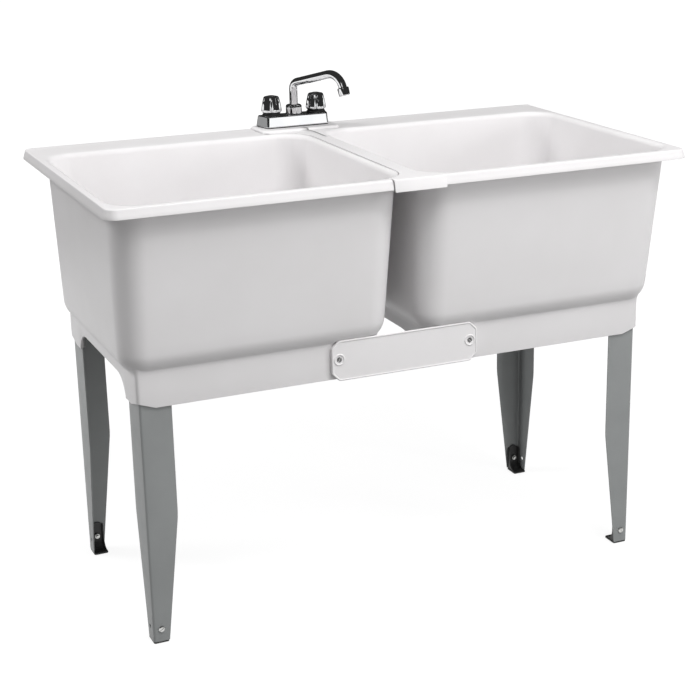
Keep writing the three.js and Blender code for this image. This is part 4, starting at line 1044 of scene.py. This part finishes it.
def foot_shell():
    """Moulded foot for the leg's corner: a ribbed strap that flares into a floor plate."""
    rings = []
    for z, inset in ((0, 0.8), (0.5, 0.15), (1.0, 0), (3.0, 0), (3.7, 0.3), (4.0, 0.9)):
        sides = (0.5 + inset, 31 - inset, 1 + inset, 38 - inset)
        rings.append(rounded_ring(*sides, 4 - inset, z, steps=6, spans=2))
    shell = Shell().skin(rings).join(foot_strap()).join(foot_ribs())
    gusset = [(FOOT_BACK + 0.5, 24), (FOOT_BACK + 0.5, 3.6), (34, 3.6), (34, 4.1)]
    gusset += curve((30, 4.2), (8, 6), (5.4, 24), 8)
    sides = (FOOT_X0 + 2.2, FOOT_X0 + FOOT_WIDTH - 2.2)
    return shell.join(Shell().skin([[(x, y, z) for y, z in gusset] for x in sides]))


def build_legs():
    for end, y_side in (("front", -1), ("back", 1)):
        for hand, x_side in (("left", -1), ("right", 1)):
            at = f"{end}_{hand}"
            cx, cy = x_side * LEG_X, y_side * LEG_Y
            hole_x = cx - x_side * FOOT_HOLE_X

            def own(shell):
                return shell.mirrored(-x_side, -y_side).moved(cx, cy)

            leg = make_piece(f"leg_angle_{at}", own(leg_shell()), ENAMEL, f"leg_{at}", 35)
            drill(leg, (hole_x, cy, FOOT_HOLE_Z), "X")
            drill(leg, (cx, cy - y_side * FOOT_SIDE_HOLE_Y, FOOT_HOLE_Z), "Y")
            make_piece(f"foot_moulding_{at}", own(foot_shell()), BLACK, f"foot_{at}", 35, f"foot_{at}")
            screw = screw_shell(*FOOT_SCREW).mirrored(1, -y_side)
            screw = screw.moved(hole_x, cy + y_side * PIECE_GAP, FOOT_HOLE_Z)
            piece = make_piece(f"foot_pan_screw_{at}", screw, ZINC, f"foot_screw_{at}", 40)
            head_y = cy + y_side * (PIECE_GAP + SCREW_HEAD_HEIGHT)
            cut_slot(piece, (hole_x, head_y, FOOT_HOLE_Z), FOOT_SLOT, 60 if x_side * y_side > 0 else -20)
            nut = nut_shell(*FOOT_NUT).mirrored(1, -y_side)
            nut = nut.moved(hole_x, cy - y_side * FOOT_NUT_Y, FOOT_HOLE_Z)
            make_piece(f"foot_hex_nut_{at}", nut, ZINC, f"foot_nut_{at}", 30)


build_legs()

# ---------------------------------------------------------------- drain fittings

WASHER_BOTTOM, COUPLING_BOTTOM, COUPLING_RIBS = 450.7, 447.4, 6
WASHER = ((20, 0), (24.7, 0), (24.7, 3), (20, 3))
COUPLING = ((19, 0), (30.8, 0), (30.8, 26), (25.3, 26), (25.3, 3), (19, 3))
STOPPER = (
    (0, -14), (15.5, -14), (17, -12.5), (18.5, 0), (24, 0), (23.8, 1.6), (22.2, 3.2), (10, 4.2), (5, 5.4),
    (4, 7), (4, 11), (5.5, 13), (8, 15), (7.4, 17.2), (4.5, 18.4), (0, 18.6),
)


def build_drains():
    for hand, x in (("left", -DRAIN_X), ("right", DRAIN_X)):
        stopper = solid_lathe(STOPPER, 56, 0.7).moved(x, DRAIN_Y, DRAIN_SEAT)
        make_piece(f"{hand}_rubber_stopper", stopper, RUBBER, f"{hand}_drain_stopper", 50, f"{hand}_stopper")
        washer = ring_lathe(WASHER, 56, 0.8).moved(x, DRAIN_Y, WASHER_BOTTOM)
        make_piece(f"{hand}_rubber_washer", washer, RUBBER, f"{hand}_drain_washer", 50)
        nut = ring_lathe(COUPLING, 72, 0.9)
        for i in range(COUPLING_RIBS):
            nut.join(box_shell(27.3, 33.8, -3, 3, 0, 16.4, 1.0).turned(math.tau * i / COUPLING_RIBS, "Z"))
        nut = nut.moved(x, DRAIN_Y, COUPLING_BOTTOM)
        make_piece(f"{hand}_drain_coupling", nut, WHITE, f"{hand}_drain_nut", 40)


build_drains()

# ---------------------------------------------------------------- faucet

SUPPLY_HALF, SHANK, SHANK_BORE, SHANK_END = 50.8, 10.3, 6.0, -46.0
SHANK_PITCH, SHANK_THREAD = 1.8, 0.7
BODY_HALF, BODY_FRONT, BODY_BACK, BODY_FLARE = 70.0, 25.0, 18.5, 11.0
BODY_HEIGHT, BODY_TAPER, BODY_EDGE = 23.0, 2.2, 2.5
ESCUTCHEON_HEIGHT = 5.0
KNOB_HEIGHT, KNOB_FOOT, KNOB_TOP, KNOB_FOOT_ROUND, KNOB_TOP_ROUND = 34.5, 21.8, 15.8, 4.5, 3.5
KNOB_FLUTES, KNOB_FLUTE_DEPTH, KNOB_TURN = 6, 3.2, math.radians(10)
FLUTE_FOOT_HALF, FLUTE_TIP_HALF = 13, 3  # half the opening of a flute, in degrees
FLUTE_END, FLUTE_FADE = 29.6, 2.6
NUT_LOBES, NUT_LOBE_DEPTH, NUT_TURN = 6, 3.2, math.radians(9)
SPOUT, SPOUT_BORE, SPOUT_HEADING = 8.7, 6.8, math.radians(27)
SPOUT_RISE, SPOUT_REACH, SPOUT_DROP, SPOUT_LOW_BEND, SPOUT_HIGH_BEND = 64.6, 129.0, 38.0, 17, 34
SPOUT_RUN_SLOPE, SPOUT_DROP_SLOPE = math.radians(14.5), math.radians(16)
CUP_SEAT = 12
OUTLET_CUP = ((6.8, 0), (11.2, 0), (11.7, 1), (12.2, 15.4), (10.6, 17), (9, 17), (9, CUP_SEAT),
              (6.8, CUP_SEAT))
ESCUTCHEON = ((8.3, 0), (20.5, 0), (20.3, 1.2), (18.2, 4.2), (16.8, ESCUTCHEON_HEIGHT),
              (8.3, ESCUTCHEON_HEIGHT))
VALVE_STEM = ((0, 0), (8, 0), (8, 8.5), (4.5, 8.5), (4.5, 29), (0, 29))
KNOB_CAP = ((0, 0), (8.5, 0), (8.5, 0.7), (7.2, 1.2), (4, 1.5), (0, 1.5))


def body_ring(inset, radius, z):
    """Plan of the faucet body, longer at the back than at the front."""
    shares = (0.02, 0.06, 0.2, 0.35, 0.5, 0.65, 0.8, 0.94, 0.98)
    sides = (-BODY_HALF + inset, BODY_HALF - inset, -BODY_FRONT + inset, BODY_BACK - inset)
    ring = rounded_ring(*sides, radius, z, 6, shares)
    slope = BODY_FLARE / BODY_HALF / (BODY_FRONT + BODY_BACK)
    return [(x * (1 + slope * (y + BODY_FRONT)), y, z) for x, y, _ in ring]


def faucet_body_shell():
    """Tapered body with soft top edges, and its two threaded shanks."""
    edge_z = BODY_HEIGHT - BODY_EDGE
    rings = [body_ring(4, 2, 0), body_ring(1, 3.2, 0), body_ring(0.5, 3.3, 0.1), body_ring(0.15, 3.4, 0.4)]
    rings += [body_ring(BODY_TAPER * z / edge_z, 3.5, z) for z in (1.0, 2.0, 6, 13, 18.5, 19.8, edge_z)]
    for a in quarter_turn(8)[1:]:
        inward = 1 - math.cos(a)
        z = edge_z + BODY_EDGE * math.sin(a)
        rings.append(body_ring(BODY_TAPER + BODY_EDGE * inward, 3.5 - inward, z))
    rings += [body_ring(BODY_TAPER + BODY_EDGE + extra, 2.2, BODY_HEIGHT) for extra in (0.8, 3)]
    shell = Shell().skin(rings)
    shank = lathe([(SHANK, 1), (SHANK, -3)], 40)
    shank += thread_rings(SHANK, -3, SHANK_END + 1, SHANK_PITCH, SHANK_THREAD)
    shank += lathe([(SHANK - 1.2, SHANK_END), (SHANK_BORE + 0.6, SHANK_END), (SHANK_BORE, SHANK_END + 0.6),
                    (SHANK_BORE, 1)], 40)
    for x in (-SUPPLY_HALF, SUPPLY_HALF):
        shell.join(Shell().skin(shank, looped=True).moved(x))
    return shell


def knob_ring(radius, h, depth):
    """Knob's outline at height h, with V-shaped flutes of a depth."""
    steps, pitch = 24, math.tau / KNOB_FLUTES
    half = math.radians(FLUTE_FOOT_HALF + (FLUTE_TIP_HALF - FLUTE_FOOT_HALF) * h / KNOB_HEIGHT)
    points = []
    for flute in range(KNOB_FLUTES):
        for i in range(steps):
            t = i / steps
            side = min(t, 1 - t) * 2
            a = half * side * 4 if side < 0.25 else half + (pitch / 2 - half) * (side - 0.25) / 0.75
            sunk = max(0.0, 1 - a / half) ** 1.15
            crown = 0.35 * math.exp(-((a - half) / math.radians(2.2)) ** 2)
            angle = flute * pitch + (a if t <= 0.5 else pitch - a) + KNOB_TURN
            r = radius - depth * (sunk - crown * 0.3)
            points.append((r * math.cos(angle), r * math.sin(angle), h))
    return points


def knob_side(h):
    """Radius of the knob's side, which swells a little between foot and top."""
    share = (h - KNOB_FOOT_ROUND) / (KNOB_HEIGHT - KNOB_FOOT_ROUND)
    return KNOB_FOOT + (KNOB_TOP - KNOB_FOOT) * share + 0.7 * math.sin(math.pi * min(max(share, 0), 1))


def flute_depth(h):
    """Flutes grow shallower up the knob and run out below its top."""
    if h < FLUTE_END - FLUTE_FADE:
        return KNOB_FLUTE_DEPTH - 1.3 * (h - KNOB_FOOT_ROUND) / 22
    return 1.8 * max(FLUTE_END - h, 0) / FLUTE_FADE


def knob_shell():
    """Knob whose flutes run out towards the top, hollow below for its stem."""
    hollow = ((0.01, 24.0), (4.8, 24.0), (4.8, 3.5), (8.3, 3.5), (8.3, 0.3), (8.6, 0))
    rings = [knob_ring(r, h, 0) for r, h in hollow]
    rings.append(knob_ring(KNOB_FOOT - KNOB_FOOT_ROUND * 1.5 - 1.2, 0, 0))
    for a in quarter_turn(8)[:-1]:
        r = KNOB_FOOT - KNOB_FOOT_ROUND * 1.5 * (1 - math.sin(a))
        depth = KNOB_FLUTE_DEPTH * (0.3 + 0.7 * math.sin(a))
        rings.append(knob_ring(r, KNOB_FOOT_ROUND * (1 - math.cos(a)), depth))
    for h in (4.5, 8, 12, 16, 20, 24, 26.9, 27.8, 28.7, 29.6, 30.2, 31.0):
        rings.append(knob_ring(knob_side(h), h, flute_depth(h)))
    shoulder = KNOB_HEIGHT - KNOB_TOP_ROUND
    for a in quarter_turn(7)[1:]:
        r = knob_side(shoulder) - KNOB_TOP_ROUND * 1.1 * (1 - math.cos(a))
        rings.append(knob_ring(r, shoulder + KNOB_TOP_ROUND * math.sin(a), 0))
    for r, h in ((9.6, KNOB_HEIGHT), (9.0, KNOB_HEIGHT - 0.25), (0.01, KNOB_HEIGHT - 0.25)):
        rings.append(knob_ring(r, h, 0))
    return Shell().skin(rings)


def spout_nut_shell():
    """Coupling nut with six round lobes."""
    def ring(radius, h, depth):
        def lobed(a):
            return radius - depth * (0.5 - 0.5 * math.cos(NUT_LOBES * (a - NUT_TURN))) ** 1.6

        return polar_ring(lobed, h, 96)

    rings = [ring(12.2, 4.1, 0), ring(12.2, 0.4, 0), ring(12.6, 0, 0), ring(17.4, 0, 1.6),
             ring(18.1, 0.3, 2.4), ring(18.4, 1.2, 3.0)]
    rings += [ring(18.5, h, NUT_LOBE_DEPTH) for h in (3, 8, 13.6)]
    for a in quarter_turn(8)[1:]:
        depth = NUT_LOBE_DEPTH * min(1.0, 3 * math.cos(a))
        rings.append(ring(13.2 + 5.3 * math.cos(a), 13.6 + 5.4 * math.sin(a), depth))
    rings += [ring(11.6, 19, 0), ring(9.4, 19, 0), ring(9.0, 18.6, 0), ring(9.0, 4.1, 0)]
    return Shell().skin(rings, looped=True)


def spout_line(steps=18):
    """Stations of the spout's centre line: reach to the front, height, and tilt from plumb."""
    stations = [(0, 0, 0), (0, 20, 0)]

    def bend(corner, radius, tilt, turn):
        reach = radius * math.tan(turn / 2)
        x, z = corner[0] - reach * math.sin(tilt), corner[1] - reach * math.cos(tilt)
        cx, cz = x + radius * math.cos(tilt), z - radius * math.sin(tilt)
        for i in range(steps + 1):
            a = tilt + turn * i / steps
            stations.append((cx - radius * math.cos(a), cz + radius * math.sin(a), a))

    x, z = SPOUT_REACH, SPOUT_RISE + SPOUT_REACH * math.tan(SPOUT_RUN_SLOPE)
    run, drop = math.pi / 2 - SPOUT_RUN_SLOPE, math.pi - SPOUT_DROP_SLOPE
    bend((0, SPOUT_RISE), SPOUT_LOW_BEND, 0, run)
    bend((x, z), SPOUT_HIGH_BEND, run, drop - run)
    stations.append((x + SPOUT_DROP * math.sin(drop), z + SPOUT_DROP * math.cos(drop), drop))
    return stations


def tube_ring(station, radius):
    reach, height, tilt = station
    return [(y, -(reach + x * math.cos(tilt)), height - x * math.sin(tilt))
            for x, y, _ in polar_ring(radius, 0, 40)]


def build_valves():
    """Escutcheon, stem, knob, cap and lock nut of the hot and the cold side."""
    top = FAUCET_TOP + PIECE_GAP
    knob_z = top + ESCUTCHEON_HEIGHT + PIECE_GAP
    for name, side, underside in (("hot", -1, 853.3), ("cold", 1, 858.0)):
        x = FAUCET_X + side * SUPPLY_HALF
        knob_body = f"{name}_knob"
        ring = ring_lathe(ESCUTCHEON, 64, 0.5)
        make_piece(f"{name}_dark_escutcheon", ring.moved(x, FAUCET_Y, top), BLACK, f"{name}_escutcheon", 40)
        stem = solid_lathe(VALVE_STEM, 40, 0.5)
        make_piece(f"{name}_valve_stem", stem.moved(x, FAUCET_Y, top), CHROME, f"{name}_stem", 40, knob_body)
        knob = knob_shell().moved(x, FAUCET_Y, knob_z)
        make_piece(f"{name}_fluted_knob", knob, CHROME, f"{name}_handle", 38, knob_body)
        cap = solid_lathe(KNOB_CAP, 48, 0.4).moved(x, FAUCET_Y, knob_z + KNOB_HEIGHT + PIECE_GAP)
        make_piece(f"{name}_knob_cap", cap, CHROME, f"{name}_cap", 40, knob_body)
        nut = nut_shell(*SHANK_NUT, 60).turned(math.pi / 2, "X").turned(math.pi / 6, "Z")
        nut = nut.moved(x, FAUCET_Y, underside - SHANK_NUT[1])
        make_piece(f"{name}_lock_nut", nut, BLACK, f"{name}_shank_nut", 35)


def build_faucet():
    body = faucet_body_shell().moved(FAUCET_X, FAUCET_Y, FAUCET_BOTTOM)
    make_piece("faucet_deck_body", body, CHROME, "faucet_body", 35)
    sheet = [body_ring(1.5 + e, 3.3, z) for z, e in ((0, 0.4), (0.3, 0), (1.2, 0), (1.5, 0.4))]
    gasket = Shell().skin(sheet).moved(FAUCET_X, FAUCET_Y, DECK_TOP + PIECE_GAP)
    make_piece("faucet_foam_gasket", gasket, RUBBER, "faucet_gasket", 40)
    build_valves()

    def stand(shell):
        return shell.moved(FAUCET_X, FAUCET_Y, FAUCET_TOP + PIECE_GAP)

    make_piece("spout_coupling_nut", stand(spout_nut_shell()), CHROME, "spout_nut", 45)
    seal = ring_lathe([(9, 0), (11.9, 0), (11.9, 3.5), (9, 3.5)], 48, 0.5).moved(0, 0, PIECE_GAP)
    make_piece("spout_ring_seal", stand(seal), RUBBER, "spout_seal", 40)
    line = spout_line()
    walls = [tube_ring(station, SPOUT) for station in line]
    walls += [tube_ring(station, SPOUT_BORE) for station in reversed(line)]
    tube = Shell().skin(walls, looped=True).turned(SPOUT_HEADING, "Z")
    make_piece("spout_bent_tube", stand(tube), CHROME, "spout_tube", 40, "spout")
    reach, height, tilt = line[-1]
    drop = CUP_SEAT + PIECE_GAP
    reach, height = reach + drop * math.sin(tilt), height + drop * math.cos(tilt)
    cup = ring_lathe(OUTLET_CUP, 56, 0.5).turned(tilt - math.pi, "X").moved(0, -reach, height)
    make_piece("spout_outlet_cup", stand(cup.turned(SPOUT_HEADING, "Z")), CHROME, "spout_outlet", 40, "spout")


build_faucet()

# ---------------------------------------------------------------- stage, light and camera

FLOOR_BASE, FLOOR_GLOW, AMBIENT = 0.2, 0.88, 0.38
FLOOR_FADE_START, FLOOR_FADE_END = 0.9, 2.6
MIDDLE_HEIGHT = 0.6


def flat_sheet(name, size_x, size_y, location, rotation, material):
    """Flat rectangle of the studio."""
    mesh = bpy.data.meshes.new(name)
    hx, hy = size_x / 2, size_y / 2
    mesh.from_pydata([(-hx, -hy, 0), (hx, -hy, 0), (hx, hy, 0), (-hx, hy, 0)], [], [(0, 1, 2, 3)])
    mesh.materials.append(material)
    sheet = add_object(name, mesh)
    sheet.location = location
    sheet.rotation_euler = rotation
    return sheet


def seen_directly(graph):
    """1 for what is seen directly, in metal or through glass, and 0 for other light."""
    path = graph.nodes.new("ShaderNodeLightPath").outputs
    total = path["Is Camera Ray"]
    for kind in ("Is Glossy Ray", "Is Transmission Ray"):
        total = graph.math("MAXIMUM", total, path[kind])
    return total


def white_floor():
    """Floor that keeps the object's soft shadow and looks white where nothing shades it."""
    look = Look("pale_floor")
    look.shader.inputs["Base Color"].default_value = (*grey(FLOOR_BASE), 1)
    look.shader.inputs["Roughness"].default_value = 1.0
    look.shader.inputs["Specular IOR Level"].default_value = 0.0
    reach = look.add("VectorMath", {0: look.coords}, "Value", operation="LENGTH")
    fade = look.smooth(reach, FLOOR_FADE_START, FLOOR_FADE_END, FLOOR_GLOW, 1.0)
    glow = look.add("Emission", {"Color": (1, 1, 1, 1), "Strength": look.product(fade, seen_directly(look))})
    surface = look.add("AddShader", {0: look.shader.outputs[0], 1: glow})
    look.links.new(surface, look.nodes["Material Output"].inputs["Surface"])
    return look.material


def studio_world():
    """White to look at, and an even grey light on the object."""
    world = bpy.data.worlds.new("studio")
    bpy.context.scene.world = world
    world.use_nodes = True
    graph = Graph(world.node_tree)
    inputs = {"A": (*grey(AMBIENT), 1), "B": (1, 1, 1, 1), "Factor": seen_directly(graph)}
    color = graph.add("Mix", inputs, "Result", data_type="RGBA")
    graph.links.new(color, graph.nodes["Background"].inputs["Color"])


def reflected(name, value, size_x, size_y, location, rotation):
    """Card that only shows in reflections, as flags and bounce cards round a product do."""
    look = Look(name)
    look.nodes.remove(look.shader)
    glow = look.add("Emission", {"Color": (*grey(value), 1)})
    look.links.new(glow, look.nodes["Material Output"].inputs["Surface"])
    card = flat_sheet(name, size_x, size_y, location, rotation, look.material)
    for way in ("camera", "diffuse", "transmission", "shadow", "volume_scatter"):
        setattr(card, f"visible_{way}", False)


def area_light(name, size, location, target, power):
    light = bpy.data.lights.new(name, "AREA")
    light.shape = "RECTANGLE"
    light.size, light.size_y = size, size
    light.energy = power
    lamp = add_object(name, light)
    lamp.location = location
    lamp.rotation_euler = (Vector(target) - Vector(location)).to_track_quat("-Z", "Y").to_euler()
    lamp.visible_glossy = False


def round_the_object(azimuth, elevation, distance):
    """Point at an azimuth from +X and an elevation, seen from the middle of the tubs."""
    a, e = math.radians(azimuth), math.radians(elevation)
    level = distance * math.cos(e)
    return (level * math.cos(a), level * math.sin(a), MIDDLE_HEIGHT + distance * math.sin(e))


LAMPS = (
    # name, azimuth, elevation, distance, size and watts
    ("key_front_high", -90, 60, 3.0, 1.0, 33),
    ("key_front", -90, 45, 3.0, 1.0, 14),
    ("key_front_right", -65, 50, 3.0, 0.7, 15),
    ("front_low", -75, 4, 3.4, 0.7, 9),
    ("side_right_low", -45, 12, 3.4, 0.7, 20),
    ("side_left_back", 150, 33, 3.2, 1.2, 39),
)
UPRIGHT = (math.pi / 2, 0, 0)
FACING_X = (math.pi / 2, 0, math.pi / 2)
FACING_LEFT = (math.pi / 2, 0, math.radians(-35))
CARDS = (
    # name, brightness, width, height, place and turn
    ("dark_ceiling", 0.03, 9, 9, (0, 0, 3.4), (0, 0, 0)),
    ("dark_back", 0.03, 9, 3.4, (0, 2.6, 1.7), UPRIGHT),
    ("dark_front", 0.03, 9, 2.45, (0, -4.2, 2.175), UPRIGHT),
    ("dark_front_left", 0.03, 3.0, 0.5, (-2.6, -4.19, 0.72), UPRIGHT),
    ("dark_left", 0.03, 7, 2.5, (-3.4, -0.8, 2.15), FACING_X),
    ("dark_right", 0.03, 7, 2.5, (3.6, -0.8, 2.15), FACING_X),
    ("grey_left_back", 0.34, 1.3, 0.75, (-2.37, 2.5, 0.93), UPRIGHT),
    ("white_front_right", 1.2, 1.4, 0.6, (1.7, -4.1, 1.0), UPRIGHT),
    ("white_front_left", 1.0, 1.6, 1.4, (-2.75, -3.65, 2.65), FACING_LEFT),
)
LAMP_TARGET = (0, 0, 0.65)

flat_sheet("floor", 40, 40, (0, 0, -0.001), (0, 0, 0), white_floor())
studio_world()
for lamp_name, azimuth, elevation, distance, lamp_size, watts in LAMPS:
    area_light(lamp_name, lamp_size, round_the_object(azimuth, elevation, distance), LAMP_TARGET, watts)
for card in CARDS:
    reflected(*card)

IMAGE_SIZE, SENSOR = 700, 36
FOCAL_PX, CENTRE_PX = 1587.39, (390.0, 350.0)
YAW, PITCH, ROLL = (math.radians(a) for a in (24.541, 17.817, -0.748))
CAMERA_PLACE = (-1.234222, -2.881459, 1.448154)


def add_camera():
    """Camera at the photograph's place, turned by its yaw, pitch and roll."""
    data = bpy.data.cameras.new("camera")
    data.sensor_width = SENSOR
    data.lens = SENSOR * FOCAL_PX / IMAGE_SIZE
    data.shift_x = (IMAGE_SIZE / 2 - CENTRE_PX[0]) / IMAGE_SIZE
    data.shift_y = (CENTRE_PX[1] - IMAGE_SIZE / 2) / IMAGE_SIZE
    data.clip_end = 100
    forward = Vector((math.sin(YAW) * math.cos(PITCH), math.cos(YAW) * math.cos(PITCH), -math.sin(PITCH)))
    level = Vector((math.cos(YAW), -math.sin(YAW), 0))
    above = level.cross(forward)
    right = level * math.cos(ROLL) + above * math.sin(ROLL)
    up = above * math.cos(ROLL) - level * math.sin(ROLL)
    camera = add_object("camera", data)
    camera.matrix_world = Matrix((*zip(right, up, -forward, CAMERA_PLACE), (0, 0, 0, 1)))
    bpy.context.scene.camera = camera


add_camera()
bpy.context.scene.view_settings.view_transform = "Standard"

NODE_LOOKS = {slot: material for material, slot in (WHITE, ENAMEL, ZINC, CHROME, BLACK, RUBBER)}
for part in frame["record"]["subparts"]:
    node = frame["nodes"][part["node"]]
    node.data.materials.clear()
    node.data.materials.append(NODE_LOOKS[part["material_slot"]])
